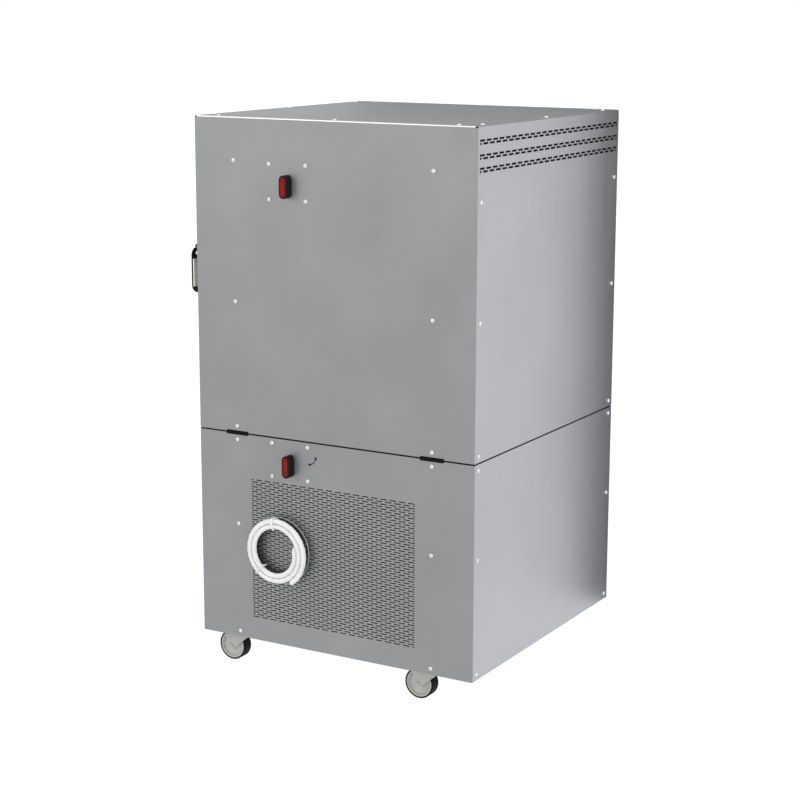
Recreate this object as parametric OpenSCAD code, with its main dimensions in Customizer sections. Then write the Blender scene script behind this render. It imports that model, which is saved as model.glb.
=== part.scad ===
// Wash-down fume cabinet on castors: a hood with a glazed door, hinged to tip off a low base.
// The door faces -Y, the service side with the knobs, grille and drain hose faces +X, +Z is up.
// Sizes are in millimetres. The origin is on the floor, under the middle of the whole outline.

/* [Cabinet] */
// Width of the cabinet across its front
body_w = 600; // [560:5:760]
// Depth of the cabinet from its left side to its service side
body_d = 595; // [560:5:760]
// Height of the base
base_h = 408; // [400:2:520]
// Height of the hood
hood_h = 598; // [580:2:760]
// Gap between the base and the hood
seam_gap = 2; // [1.6:0.1:3]
// Height of the base above the floor
floor_gap = 70; // [69:1:110]
// Thickness of the outer sheets
sheet_t = 1.5; // [1:0.1:2]

/* [Frame] */
// Thickness of the frame's sheet
frame_t = 2; // [1.5:0.1:2.5]
// Leg of the corner angles
post_leg = 25; // [22:1:30]
// Height of the pans' upturned flanges
flange_h = 18; // [16:1:24]
// Distance of the side uprights from the front and the rear
upright_in = 87; // [70:1:110]
// Width of the side uprights
upright_w = 30; // [20:1:40]
// Depth of the side uprights
upright_d = 12; // [8:1:14]
// Depth of the top ledge that carries the drip tray
tray_drop = 16; // [14:1:24]
// Length of the opening in the base's floor
floor_hole_l = 260; // [100:10:340]
// Width of the opening in the base's floor
floor_hole_w = 180; // [60:10:220]

/* [Screws] */
// Radius of the screw shanks
screw_r = 2; // [1.5:0.1:2.5]
// Radius of the button heads
head_r = 4; // [3:0.1:5]
// Height of the button heads
head_h = 2.2; // [1.5:0.1:3]
// Length of the screw shanks
screw_len = 9; // [8:0.5:12]
// Distance of the lowest and the seam screws from the sheets' edges
screw_edge = 12; // [10:0.5:14]
// Distance of the corner screws from the rear and top edges
corner_in = 15; // [10:1:20]
// Height of the hood's middle screws above its bottom
hood_mid_z = 253; // [200:1:300]
// Height of the base's middle screws above its bottom
base_mid_z = 229; // [180:1:260]
// Distance of the upper side screws below the top
side_top_drop = 80; // [60:1:120]
// Distance of the upper rear screws below the top
rear_top_drop = 132; // [110:1:160]

/* [Vents and grille] */
// Number of slots along a rear vent row
vent_cols = 24; // [12:1:30]
// Distance of the vents from the side edges
vent_margin = 8; // [8:1:20]
// Height of a vent slot
vent_slot_h = 2.4; // [1.5:0.1:4]
// Spacing of the two rows of a pair
vent_row_gap = 5.4; // [4:0.1:8]
// Width of the grille
grille_w = 358; // [250:1:400]
// Height of the grille
grille_h = 278; // [200:1:300]
// Distance of the grille from the front
grille_in = 119; // [115:1:130]
// Height of the grille's lower edge above the base's bottom
grille_low = 46; // [30:1:60]
// Number of slots along a grille row
grille_cols = 18; // [8:1:20]
// Number of rows in the grille
grille_rows = 20; // [8:1:24]

/* [Hood] */
// Width of the front frame's rim around the door
rim_w = 14; // [12:1:20]
// Depth of the front frame
front_frame_d = 30; // [29:1:40]
// Distance of the chamber from the side faces
chamber_in = 32; // [28:1:50]
// Height of the chamber's floor above the hood's bottom
chamber_low = 20; // [20:1:30]
// Height inside the chamber
chamber_h = 380; // [340:1:400]
// Depth of the air duct behind the chamber
duct_d = 88; // [60:1:110]
// Thickness of the chamber's sheet
liner_t = 1.5; // [1:0.1:2]
// Height of the carbon filter
filter_h = 60; // [40:1:70]
// Radius of the fan's impeller
fan_r = 80; // [60:1:85]
// Height of the fan's impeller
fan_h = 50; // [30:1:52]

/* [Door] */
// Depth of the door
door_t = 22; // [18:1:24]
// Gap around the door
door_gap = 2.5; // [2:0.1:4]
// Width of the door's frame beside the glass
stile_w = 52; // [48:1:70]
// Height of the glass above the door's bottom
glass_low = 46; // [40:1:70]
// Height of the window
window_h = 318; // [250:1:340]
// Thickness of the glass
glass_t = 6; // [4:0.5:8]
// Distance of the handle from the service side
handle_in = 16; // [10:1:22]
// Width of the handle
handle_w = 26; // [24:1:34]
// Reach of the handle in front of the door
handle_reach = 26; // [24:1:34]
// Length of the handle
handle_len = 94; // [80:1:120]

/* [Knobs and valves] */
// Length of the knobs
knob_len = 43; // [36:1:50]
// Width of the knobs
knob_w = 17; // [12:0.5:18]
// Reach of the knobs beyond the panel
knob_reach = 21; // [16:0.5:26]
// Distance of the knobs' axes from the front
knob_in = 208; // [205:1:230]
// Height of the spray knob's axis above the hood's bottom
spray_knob_z = 475; // [460:1:480]
// Distance of the drain knob's axis below the base's top
drain_knob_drop = 49; // [46:1:52]
// Radius of the valve bodies
valve_r = 13; // [11:0.5:14]
// Radius of the valve balls
ball_r = 9; // [7:0.5:9]
// Radius of the water way
bore_r = 5; // [3:0.5:5]
// Radius of the valve stems
stem_r = 4; // [3:0.1:5]

/* [Drain hose] */
// Outer diameter of the hose
hose_d = 10; // [8:0.5:12]
// Radius of the hose's first turn, at its middle
coil_r0 = 44; // [40:1:50]
// Number of turns of the hose
coil_turns = 2.18; // [1.5:0.01:2.6]
// Distance of the coil's middle from the front
coil_in = 183; // [175:1:190]
// Height of the coil's middle above the base's bottom
coil_z = 189.5; // [170:0.5:200]
// Direction of the hose's start, up from the rear
coil_start = 18; // [10:1:30]

/* [Castors] */
// Diameter of the wheels
wheel_d = 60; // [50:1:60]
// Width of the wheels
wheel_w = 24; // [18:1:26]
// Distance of the wheel's axle behind the swivel axis
castor_trail = 27; // [18:1:30]
// Distance of the swivel axes from the side faces
castor_in = 56; // [45:1:80]
// Distance of the front swivel axes from the front
castor_front = 62; // [60:1:90]
// Distance of the rear swivel axes from the rear
castor_rear = 110; // [60:1:130]

/* [Hidden] */
$fn = 48;

// Outer faces of the cabinet
right_x = body_d / 2 - knob_reach / 2;
left_x = right_x - body_d;
front_y = -body_w / 2 + handle_reach / 2;
rear_y = front_y + body_w;
base_z = floor_gap;
base_top = base_z + base_h;
hood_z = base_top + seam_gap;
top_z = hood_z + hood_h;
seam_z = base_top + seam_gap / 2;
mid_x = (left_x + right_x) / 2;

// Clearances
touch = 0.3;        // between pieces of different bodies
run_fit = 0.05;     // radial, shaft in bore
weld = 0.05;        // between pieces of the base frame or the drip tray, which are welded
hole_r = screw_r + 0.25;

// The frames stand one leaf's thickness inside the panels, so that hinge leaves and brackets fit between
leaf_t = frame_t;
inset = sheet_t + leaf_t;
inner = inset + frame_t;
tray_z = base_top - tray_drop;
tray_in = screw_len + 1.5;
ledge_w = tray_in + 2.5;
tray_wall = 1.5;
tray_rim = base_top - 2.5;
top_leg_h = 20;

// Screw places
side_ys = [front_y + upright_in, rear_y - upright_in];
rear_xs = [left_x + corner_in, right_x - corner_in];
base_side_zs = [base_z + screw_edge, base_z + base_mid_z, base_top - screw_edge];
hood_side_zs = [hood_z + screw_edge, hood_z + hood_mid_z, top_z - side_top_drop];
hood_rear_zs = [hood_z + screw_edge, hood_z + hood_mid_z, top_z - rear_top_drop];
top_corner_in = 45;
top_spots = concat(
    [for (x = [left_x + corner_in, right_x - corner_in])
        for (y = [front_y + top_corner_in, (front_y + rear_y) / 2, rear_y - top_corner_in]) [x, y]],
    [for (y = [front_y + corner_in, rear_y - corner_in])
        for (x = [left_x + top_corner_in, mid_x, right_x - top_corner_in]) [x, y]]);

// Valves and their brackets
knob_y = front_y + knob_in;
spray_z = hood_z + spray_knob_z;
drain_z = base_top - drain_knob_drop;
valve_x = right_x - inset - 22;
bracket_w = 100;
bracket_h = 82;
bracket_bolt_w = 80;
bracket_bolt_h = 65;
bracket_y = knob_y - 2;
bracket_up = 7;
valve_half = 30;

// Tipping hinges
barrel_r = 3;
tilt_pin_r = 1.5;
tilt_len = 48;
tilt_end = 15;
leaf_h = 26;
leaf_low = barrel_r + 0.5;

// Drain hose on its rack
coil_y = front_y + coil_in;
coil_cz = base_z + coil_z;
hose_r = hose_d / 2;
coil_in_r = coil_r0 - hose_r;
coil_out_r = coil_r0 + hose_d * coil_turns + hose_r;
wire_r = 1.25;
pipe_r = 6;
rack_r0 = coil_r0 + pipe_r + 2;
rack_r1 = coil_out_r - 3.8;
pad_r0 = coil_in_r + 8.4;
pad_r1 = coil_out_r - 6.8;
tie_t = 0.8;
tie_w = 4;
pad_x0 = right_x + 2 * wire_r + touch + tie_t;
pad_x1 = right_x + 12.6;
hose_x = pad_x1 + touch + hose_r;
tie_angles = [95, 227];
outlet_y = coil_y + coil_r0 * cos(coil_start);
outlet_z = coil_cz + coil_r0 * sin(coil_start);
elbow_r = pipe_r + 1;
barb_r = 3.6;

// Hood
liner_x0 = left_x + chamber_in;
liner_x1 = right_x - chamber_in;
liner_y0 = front_y + front_frame_d;
liner_y1 = rear_y - duct_d;
liner_z0 = hood_z + chamber_low - liner_t;
liner_z1 = hood_z + chamber_low + chamber_h + liner_t;
baffle_y = liner_y1 - liner_t - 26;
filter_x0 = mid_x - 150;
filter_x1 = mid_x + 150;
filter_y0 = liner_y1 - 250;
filter_y1 = liner_y1 - 20;
filter_top = liner_z1 + filter_h;
fan_y = (filter_y0 + filter_y1) / 2 + 20;
fan_z0 = filter_top + 18;
housing_r = fan_r + 14;
housing_top = fan_z0 + fan_h + 36;
motor_r = 32;
shaft_r = 4;
pan_hole_l = 90;

// Door
door_x0 = left_x + rim_w + door_gap;
door_x1 = right_x - rim_w - door_gap;
door_z0 = hood_z + rim_w + door_gap;
door_z1 = top_z - rim_w - door_gap;
window_x0 = door_x0 + stile_w;
window_x1 = door_x1 - stile_w;
window_z0 = door_z0 + glass_low;
window_z1 = window_z0 + window_h;
glass_lap = 12;
mouth_in = 4;
landing_t = 3;
door_pin_x = left_x + 8;
door_pin_y = front_y - 5;
door_barrel_r = 4;
door_pin_r = 2;
door_hinge_len = 60;
door_hinge_end = 18;
door_hinge_zs = [door_z0 + 80, door_z1 - 80];
handle_x0 = right_x - handle_in - handle_w;
handle_x1 = right_x - handle_in;
handle_top = (hood_z + top_z) / 2 + handle_len / 2 + 8;
handle_low = handle_top - handle_len;
lever_pin_y = front_y - handle_reach / 2;
lever_pin_z = handle_top - 18;
lever_pin_r = 2.5;
ear_r = 7;
ear_w = 4;
ear_in = 2;
grip_t = 4;

// Castors: swivel axes, in the order of their names
castor_x1 = right_x - castor_in;
castor_x0 = left_x + castor_in;
castor_y0 = front_y + castor_front;
castor_y1 = rear_y - castor_rear;
castor_spots = [[castor_x1, castor_y0], [castor_x0, castor_y0],
                [castor_x1, castor_y1], [castor_x0, castor_y1]];
wheel_r = wheel_d / 2;
crown_z = floor_gap - 8;
plate_w = 62;
plate_t = 2.5;
kingpin_r = 5;
axle_r = 4;
fork_gap = 1.5;
fork_t = 2;
castor_bolt = 23;

// Power inlet on the left side
inlet_y = front_y + 170;
inlet_z = base_top - 90;
inlet_half_w = 16;
inlet_half_h = 30;
switch_z = inlet_z + 16;
rocker_half_w = 6;
rocker_half_h = 9.5;
rocker_x = left_x + 1.5;
rocker_tilt = 6;
rocker_pin_r = 1.2;
rocker_pin_l = rocker_half_w + 2;

// ---- Plain helpers

// A box from one corner to the opposite one
module span(a, b) translate(a) cube(b - a);

// A cylinder along X, Y or Z from p
module rod_x(p, l, r) translate(p) rotate([0, 90, 0]) cylinder(h = l, r = r);
module rod_y(p, l, r) translate(p) rotate([-90, 0, 0]) cylinder(h = l, r = r);
module rod_z(p, l, r) translate(p) cylinder(h = l, r = r);

// A square elbow fitting round p
module elbow(p, r) span(p - [r, r, r], p + [r, r, r]);

// A rectangular ring between two inset boxes, as tall as z0 to z1
module ring(in0, in1, z0, z1) difference() {
    span([left_x + in0, front_y + in0, z0], [right_x - in0, rear_y - in0, z1]);
    span([left_x + in1, front_y + in1, z0 - 1], [right_x - in1, rear_y - in1, z1 + 1]);
}

// A button-head screw whose head sits on the plane z = 0 and whose shank points down
module screw() {
    cylinder(h = head_h, r1 = head_r, r2 = head_r * 0.55);
    translate([0, 0, -screw_len]) cylinder(h = screw_len + 0.01, r = screw_r);
}
module screw_right(y, z) translate([right_x, y, z]) rotate([0, 90, 0]) screw();
module screw_left(y, z) translate([left_x, y, z]) rotate([0, -90, 0]) screw();
module screw_rear(x, z) translate([x, rear_y, z]) rotate([-90, 0, 0]) screw();
module screw_front(x, z) translate([x, front_y, z]) rotate([90, 0, 0]) screw();

// Holes for the side and the rear or front screws, through everything between the faces
module side_holes(zs) for (y = side_ys, z = zs) {
    rod_x([right_x - screw_len - 1, y, z], screw_len + 2, hole_r);
    rod_x([left_x - 1, y, z], screw_len + 2, hole_r);
}
module rear_holes(zs) for (x = rear_xs, z = zs)
    rod_y([x, rear_y - screw_len - 1, z], screw_len + 2, hole_r);
module front_holes(zs) for (x = rear_xs, z = zs)
    rod_y([x, front_y - 1, z], screw_len + 2, hole_r);

// The four bolts of a valve bracket, as places [y, z]
function bracket_spots(z) = [for (dy = [-1, 1], dz = [-1, 1])
    [bracket_y + dy * bracket_bolt_w / 2, z + bracket_up + dz * bracket_bolt_h / 2]];

// ---- Frame pieces

// A corner angle standing in the corner at [x, y] whose legs point along sx and sy
module post(x, y, sx, sy, z0, z1) difference() {
    span([min(x, x + sx * post_leg), min(y, y + sy * post_leg), z0],
         [max(x, x + sx * post_leg), max(y, y + sy * post_leg), z1]);
    x0 = x + sx * frame_t;
    y0 = y + sy * frame_t;
    span([min(x0, x + sx * (post_leg + 1)), min(y0, y + sy * (post_leg + 1)), z0 - 1],
         [max(x0, x + sx * (post_leg + 1)), max(y0, y + sy * (post_leg + 1)), z1 + 1]);
}

// The U-shaped uprights behind both side panels, a gap inside the pan's flange
module uprights(z0, z1, gap = 0) for (y = side_ys) {
    x1 = right_x - inner - gap;
    x0 = left_x + inner + gap;
    difference() {
        span([x1 - upright_d, y - upright_w / 2, z0], [x1, y + upright_w / 2, z1]);
        span([x1 - upright_d - 1, y - upright_w / 2 + frame_t, z0 - 1],
             [x1 - frame_t, y + upright_w / 2 - frame_t, z1 + 1]);
    }
    difference() {
        span([x0, y - upright_w / 2, z0], [x0 + upright_d, y + upright_w / 2, z1]);
        span([x0 + frame_t, y - upright_w / 2 + frame_t, z0 - 1],
             [x0 + upright_d + 1, y + upright_w / 2 - frame_t, z1 + 1]);
    }
}

// A floor pan with an upturned flange, a gap inside the corner angles
module pan(z, gap = 0) {
    span([left_x + inset + gap, front_y + inset + gap, z],
         [right_x - inset - gap, rear_y - inset - gap, z + frame_t]);
    ring(inset + gap, inner, z, z + flange_h);
}

module base_frame() color("gray") difference() {
    union() {
        pan(base_z, weld);
        for (sx = [-1, 1], sy = [-1, 1])
            post(sx < 0 ? right_x - sheet_t : left_x + sheet_t,
                 sy < 0 ? rear_y - sheet_t : front_y + sheet_t, sx, sy, base_z, base_top);
        uprights(base_z + frame_t + weld, tray_z - frame_t - weld, weld);
        ring(inset + weld, inset + ledge_w, tray_z - frame_t, tray_z);
        ring(inset + weld, inner, tray_z - frame_t, base_top);
    }
    side_holes(base_side_zs);
    rear_holes(base_side_zs);
    front_holes(base_side_zs);
    for (s = bracket_spots(drain_z)) rod_x([right_x - screw_len - 1, s[0], s[1]], screw_len + 2, hole_r);
    rod_z([valve_x, knob_y, tray_z - frame_t - 1], frame_t + 2, bore_r + 3 + touch);
    span([mid_x - floor_hole_l / 2, (front_y + rear_y - floor_hole_w) / 2, base_z - 1],
         [mid_x + floor_hole_l / 2, (front_y + rear_y + floor_hole_w) / 2, base_z + frame_t + 1]);
    for (c = castor_spots, dx = [-1, 1], dy = [-1, 1])
        rod_z([c[0] + dx * castor_bolt, c[1] + dy * castor_bolt, base_z - 1], frame_t + 2, 3.25);
}

module base_front_panel() color("#9a9b9c") difference() {
    span([left_x + sheet_t, front_y, base_z], [right_x - sheet_t, front_y + sheet_t, base_top]);
    front_holes(base_side_zs);
}

module base_rear_panel() color("#b4b6b9") difference() {
    span([left_x + sheet_t, rear_y - sheet_t, base_z], [right_x - sheet_t, rear_y, base_top]);
    rear_holes(base_side_zs);
}

module base_left_panel() color("#949595") difference() {
    span([left_x, front_y, base_z], [left_x + sheet_t, rear_y, base_top]);
    side_holes(base_side_zs);
    span([left_x - 1, inlet_y - inlet_half_w, inlet_z - inlet_half_h],
         [left_x + sheet_t + 1, inlet_y + inlet_half_w, inlet_z + inlet_half_h]);
}

// Staggered rows of slots; every second row is shifted by half a pitch and cut off at the ends
module slot_rows(w, h, cols, rows) {
    pitch = w / cols;
    row = h / rows;
    for (j = [0 : rows - 1], i = [0 : cols - (j % 2 == 0 ? 1 : 0)]) {
        u0 = max(0, (i - (j % 2) / 2) * pitch);
        u1 = min(w, (i - (j % 2) / 2 + 0.72) * pitch);
        if (u1 - u0 > 2)
            translate([u0, (j + 0.22) * row]) square([u1 - u0, row * 0.56]);
    }
}

module base_right_panel() color("#949595") difference() {
    span([right_x - sheet_t, front_y, base_z], [right_x, rear_y, base_top]);
    side_holes(base_side_zs);
    translate([right_x - sheet_t - 1, front_y + grille_in, base_z + grille_low])
        rotate([90, 0, 90]) linear_extrude(sheet_t + 2)
            slot_rows(grille_w, grille_h, grille_cols, grille_rows);
    hinge_notches();
    rod_x([right_x - 5, knob_y, drain_z], 10, stem_r + 1);
    for (s = bracket_spots(drain_z)) rod_x([right_x - 5, s[0], s[1]], 10, hole_r);
    rod_x([right_x - 5, outlet_y, outlet_z], 10, pipe_r + touch);
}

module base_screws() color("whitesmoke") {
    for (y = side_ys, z = base_side_zs) {
        screw_right(y, z);
        screw_left(y, z);
    }
    for (x = rear_xs, z = base_side_zs) {
        screw_rear(x, z);
        screw_front(x, z);
    }
    for (s = bracket_spots(drain_z)) screw_right(s[0], s[1]);
    for (c = castor_spots, dx = [-1, 1], dy = [-1, 1])
        translate([c[0] + dx * castor_bolt, c[1] + dy * castor_bolt, 0]) {
            rod_z([0, 0, base_z + frame_t], 3.5, 5);
            rod_z([0, 0, base_z - plate_t + 0.2], plate_t + frame_t, 3);
        }
}

module seam_gasket() color("#202020")
    ring(tray_in - 2, tray_in + 5, tray_rim, hood_z - touch);

// A floor with the drain's hole, and four walls welded to it
module drip_tray() color("silver") {
    x0 = left_x + tray_in;
    x1 = right_x - tray_in;
    y0 = front_y + tray_in;
    y1 = rear_y - tray_in;
    wall_z = tray_z + tray_wall + weld;
    difference() {
        span([x0, y0, tray_z], [x1, y1, tray_z + tray_wall]);
        rod_z([valve_x, knob_y, tray_z - 1], 5, bore_r);
    }
    for (x = [x0, x1 - tray_wall]) span([x, y0, wall_z], [x + tray_wall, y1, tray_rim]);
    for (y = [y0, y1 - tray_wall])
        span([x0 + tray_wall + weld, y, wall_z], [x1 - tray_wall - weld, y + tray_wall, tray_rim]);
}

// ---- Tipping hinges along the service side's seam

module hinge_notches() for (y = side_ys)
    span([right_x - sheet_t - 1, y - tilt_len / 2 - 0.5, seam_z - leaf_low],
         [right_x + 1, y + tilt_len / 2 + 0.5, seam_z + leaf_low]);

// A leaf behind the panel, up for the hood (sz = 1) or down for the base (sz = -1), with its screw hole
module leaf(y, sz, hole_z) difference() {
    z0 = seam_z + sz * leaf_low;
    z1 = seam_z + sz * (leaf_low + leaf_h);
    span([right_x - inset, y - tilt_len / 2, min(z0, z1)],
         [right_x - sheet_t, y + tilt_len / 2, max(z0, z1)]);
    rod_x([right_x - 9, y, hole_z], 10, hole_r);
}
module knuckle(y0, y1, sz, r) difference() {
    union() {
        rod_y([right_x, y0, seam_z], y1 - y0, barrel_r);
        span([right_x - inset, y0, min(seam_z, seam_z + sz * (leaf_low + 1))],
             [right_x - sheet_t, y1, max(seam_z, seam_z + sz * (leaf_low + 1))]);
    }
    rod_y([right_x, y0 - 1, seam_z], y1 - y0 + 2, r);
}

module tilt_hinge_lower_leaves() color("#1c1c1c") for (y = side_ys) {
    leaf(y, -1, base_top - screw_edge);
    knuckle(y - tilt_len / 2, y - tilt_len / 2 + tilt_end, -1, tilt_pin_r);
    knuckle(y + tilt_len / 2 - tilt_end, y + tilt_len / 2, -1, tilt_pin_r);
}

module tilt_hinge_upper_leaves() color("#1c1c1c") for (y = side_ys) {
    leaf(y, 1, hood_z + screw_edge);
    knuckle(y - tilt_len / 2 + tilt_end + 0.4, y + tilt_len / 2 - tilt_end - 0.4, 1, tilt_pin_r + run_fit);
}

module tilt_hinge_pins() color("silver") for (y = side_ys)
    rod_y([right_x, y - tilt_len / 2, seam_z], tilt_len, tilt_pin_r);

// ---- Quarter-turn valves, one behind each knob

module valve_bracket(z) difference() {
    span([right_x - inset, bracket_y - bracket_w / 2, z + bracket_up - bracket_h / 2],
         [right_x - sheet_t, bracket_y + bracket_w / 2, z + bracket_up + bracket_h / 2]);
    rod_x([right_x - 9, knob_y, z], 12, stem_r + 1);
    for (s = bracket_spots(z)) rod_x([right_x - 9, s[0], s[1]], 12, hole_r);
}

// The body runs up to z1 and down to z0, with its bonnet against the bracket
module valve_body(z, z0, z1) difference() {
    union() {
        rod_z([valve_x, knob_y, z - 16], 32, valve_r);
        rod_z([valve_x, knob_y, z0], z1 - z0, bore_r + 3);
        rod_x([valve_x, knob_y, z], right_x - inset - valve_x, stem_r + 4);
    }
    rod_z([valve_x, knob_y, z0 - 1], z1 - z0 + 2, bore_r);
    translate([valve_x, knob_y, z]) sphere(r = ball_r + touch);
    rod_x([valve_x, knob_y, z], 30, stem_r + run_fit);
}

module valve_ball(z) difference() {
    union() {
        translate([valve_x, knob_y, z]) sphere(r = ball_r);
        rod_x([valve_x, knob_y, z], right_x + knob_reach - 6 - valve_x, stem_r);
    }
    rod_z([valve_x, knob_y, z - ball_r - 1], 2 * ball_r + 2, bore_r);
}

// An upright obround with round ends, reaching from x0 to x1
module obround_x(z, l, w, x0, x1) {
    span([x0, knob_y - w / 2, z - (l - w) / 2], [x1, knob_y + w / 2, z + (l - w) / 2]);
    for (s = [-1, 1]) rod_x([x0, knob_y, z + s * (l - w) / 2], x1 - x0, w / 2);
}

module knob(z) color("#161616") difference() {
    union() {
        obround_x(z, knob_len, knob_w, right_x + 0.6, right_x + knob_reach);
        rod_x([right_x + 0.6, knob_y, z], 3, knob_w / 2 + 2.5);
    }
    obround_x(z, knob_len - 3, knob_w - 3, right_x + knob_reach - 2, right_x + knob_reach + 1);
    rod_x([right_x - 1, knob_y, z], knob_reach - 4.5, stem_r + 0.02);
}

module knob_insert(z) color("#9b1b1f")
    obround_x(z, knob_len - 3.2, knob_w - 3.2, right_x + knob_reach - 2, right_x + knob_reach - 0.4);

module drain_valve_bracket() color("gray") valve_bracket(drain_z);
module spray_valve_bracket() color("gray") valve_bracket(spray_z);
module drain_valve_body() color("silver") valve_body(drain_z, drain_z - valve_half, tray_z);
module spray_valve_body() color("silver") valve_body(spray_z, spray_z - valve_half, spray_z + valve_half);
module drain_valve_ball() color("silver") valve_ball(drain_z);
module spray_valve_ball() color("silver") valve_ball(spray_z);
module drain_knob() knob(drain_z);
module spray_knob() knob(spray_z);
module drain_knob_insert() knob_insert(drain_z);
module spray_knob_insert() knob_insert(spray_z);

// ---- Drain hose, its outlet and its rack

// From the valve down, across to the outlet hole, out through the panel and into the hose's end
module hose_outlet() color("whitesmoke") {
    rod_z([valve_x, knob_y, outlet_z], drain_z - valve_half - outlet_z, pipe_r);
    elbow([valve_x, knob_y, outlet_z], elbow_r);
    rod_y([valve_x, knob_y, outlet_z], outlet_y - knob_y, pipe_r);
    elbow([valve_x, outlet_y, outlet_z], elbow_r);
    rod_x([valve_x, outlet_y, outlet_z], right_x + 1 - valve_x, pipe_r);
    rod_x([valve_x, outlet_y, outlet_z], hose_x - valve_x, barb_r);
    translate([hose_x, outlet_y, outlet_z]) rotate([coil_start, 0, 0]) {
        elbow([0, 0, 0], barb_r - 0.3);
        rotate([180, 0, 0]) cylinder(h = 10, r = barb_r - 0.5);
    }
}

module drain_hose_coil() color("white") translate([hose_x - hose_r, coil_y, coil_cz]) rotate([0, 90, 0])
    rotate_extrude() translate([coil_in_r, 0]) square([coil_out_r - coil_in_r, hose_d]);

// The black pad between the hose and the panel, notched where the outlet passes
module hose_pad() color("#141414") difference() {
    translate([pad_x0, coil_y, coil_cz]) rotate([0, 90, 0]) difference() {
        cylinder(h = pad_x1 - pad_x0, r = pad_r1);
        translate([0, 0, -1]) cylinder(h = pad_x1 - pad_x0 + 2, r = pad_r0);
    }
    rod_x([right_x, outlet_y, outlet_z], 20, barb_r + 1.5);
}

// Two rings of wire on the panel, joined by four cross wires
module hose_rack() color("white") translate([right_x + wire_r, coil_y, coil_cz]) rotate([0, 90, 0]) {
    for (r = [rack_r0, rack_r1])
        rotate_extrude() translate([r, 0]) circle(r = wire_r);
    for (a = [20, 140, 185, 270]) rotate([0, 0, a])
        rod_x([rack_r0, 0, 0], rack_r1 - rack_r0, wire_r * 0.8);
}

// Flat bands round the hose and the pad
module hose_ties() color("white") for (a = tie_angles)
    translate([0, coil_y, coil_cz]) rotate([a, 0, 0]) difference() {
        span([right_x + 2 * wire_r + 0.1, coil_in_r - touch - tie_t, -tie_w / 2],
             [hose_x + hose_r + touch + tie_t, coil_out_r + touch + tie_t, tie_w / 2]);
        span([pad_x0 - 0.1, coil_in_r - touch, -tie_w],
             [hose_x + hose_r + touch, coil_out_r + touch, tie_w]);
    }

// ---- Power inlet with its switch, in the left panel

module power_inlet() color("#181818") difference() {
    union() {
        span([left_x - 2, inlet_y - inlet_half_w - 3, inlet_z - inlet_half_h - 3],
             [left_x, inlet_y + inlet_half_w + 3, inlet_z + inlet_half_h + 3]);
        span([left_x - 1, inlet_y - inlet_half_w + 0.2, inlet_z - inlet_half_h + 0.2],
             [left_x + 30, inlet_y + inlet_half_w - 0.2, inlet_z + inlet_half_h - 0.2]);
    }
    span([left_x - 3, inlet_y - 11, inlet_z - inlet_half_h + 4], [left_x + 16, inlet_y + 11, inlet_z - 2]);
    span([left_x - 3, inlet_y - rocker_half_w - 0.5, switch_z - rocker_half_h - 0.8],
         [left_x + 14, inlet_y + rocker_half_w + 0.5, switch_z + rocker_half_h + 0.8]);
    rod_y([rocker_x, inlet_y - rocker_pin_l - touch, switch_z], 2 * (rocker_pin_l + touch),
          rocker_pin_r + run_fit);
}

// The rocker lies on its pivot pin with its upper end pressed in
module power_switch() color("#9b1b1f") translate([rocker_x, inlet_y, switch_z]) rotate([0, rocker_tilt, 0]) {
    span([-4.5, -rocker_half_w, -rocker_half_h], [4.5, rocker_half_w, rocker_half_h]);
    rod_y([0, -rocker_pin_l, 0], 2 * rocker_pin_l, rocker_pin_r);
}

// ---- Castors

module castor_plates() color("silver") for (c = castor_spots) translate([c[0], c[1], 0]) difference() {
    union() {
        span([-plate_w / 2, -plate_w / 2, base_z - plate_t], [plate_w / 2, plate_w / 2, base_z]);
        rod_z([0, 0, crown_z + 3 + touch], base_z - plate_t - crown_z - 3 - touch, 16);
    }
    rod_z([0, 0, crown_z], 20, kingpin_r + run_fit);
    for (dx = [-1, 1], dy = [-1, 1]) rod_z([dx * castor_bolt, dy * castor_bolt, crown_z], 20, 3.25);
}

// The outline of one cheek, in Y and Z, from the crown round the axle
module cheek() {
    polygon([[-castor_trail - 14, crown_z + 3], [16, crown_z + 3], [16, crown_z - 6],
             [-castor_trail + 9, wheel_r - 2], [-castor_trail - 9, wheel_r - 2]]);
    translate([-castor_trail, wheel_r]) circle(r = 9);
}

module castor_fork(i) color("#b9bab8") translate([castor_spots[i][0], castor_spots[i][1], 0]) {
    half = wheel_w / 2 + fork_gap;
    span([-half - fork_t, -castor_trail - 14, crown_z], [half + fork_t, 16, crown_z + 3]);
    for (x = [-half - fork_t, half])
        translate([x, 0, 0]) rotate([90, 0, 90]) linear_extrude(fork_t) cheek();
    rod_z([0, 0, crown_z], base_z - touch - crown_z, kingpin_r);
    rod_x([-half - fork_t - 2, -castor_trail, wheel_r], 2 * (half + fork_t + 2), axle_r);
}

module castor_wheel(i) color("#1a1a1a")
    translate([castor_spots[i][0], castor_spots[i][1] - castor_trail, wheel_r]) rotate([0, 90, 0])
        translate([0, 0, -wheel_w / 2]) rotate_extrude() polygon(concat(
            [[axle_r + run_fit, -0.8], [10, -0.8], [10, 1.5], [wheel_r - 6, 2.5], [wheel_r - 4, 0]],
            [for (a = [-90 : 15 : 0]) [wheel_r - 3 + 3 * cos(a), 3 + 3 * sin(a)]],
            [for (a = [0 : 15 : 90]) [wheel_r - 3 + 3 * cos(a), wheel_w - 3 + 3 * sin(a)]],
            [[wheel_r - 4, wheel_w], [wheel_r - 6, wheel_w - 2.5], [10, wheel_w - 1.5],
             [10, wheel_w + 0.8], [axle_r + run_fit, wheel_w + 0.8]]));

// ---- Hood

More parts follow.
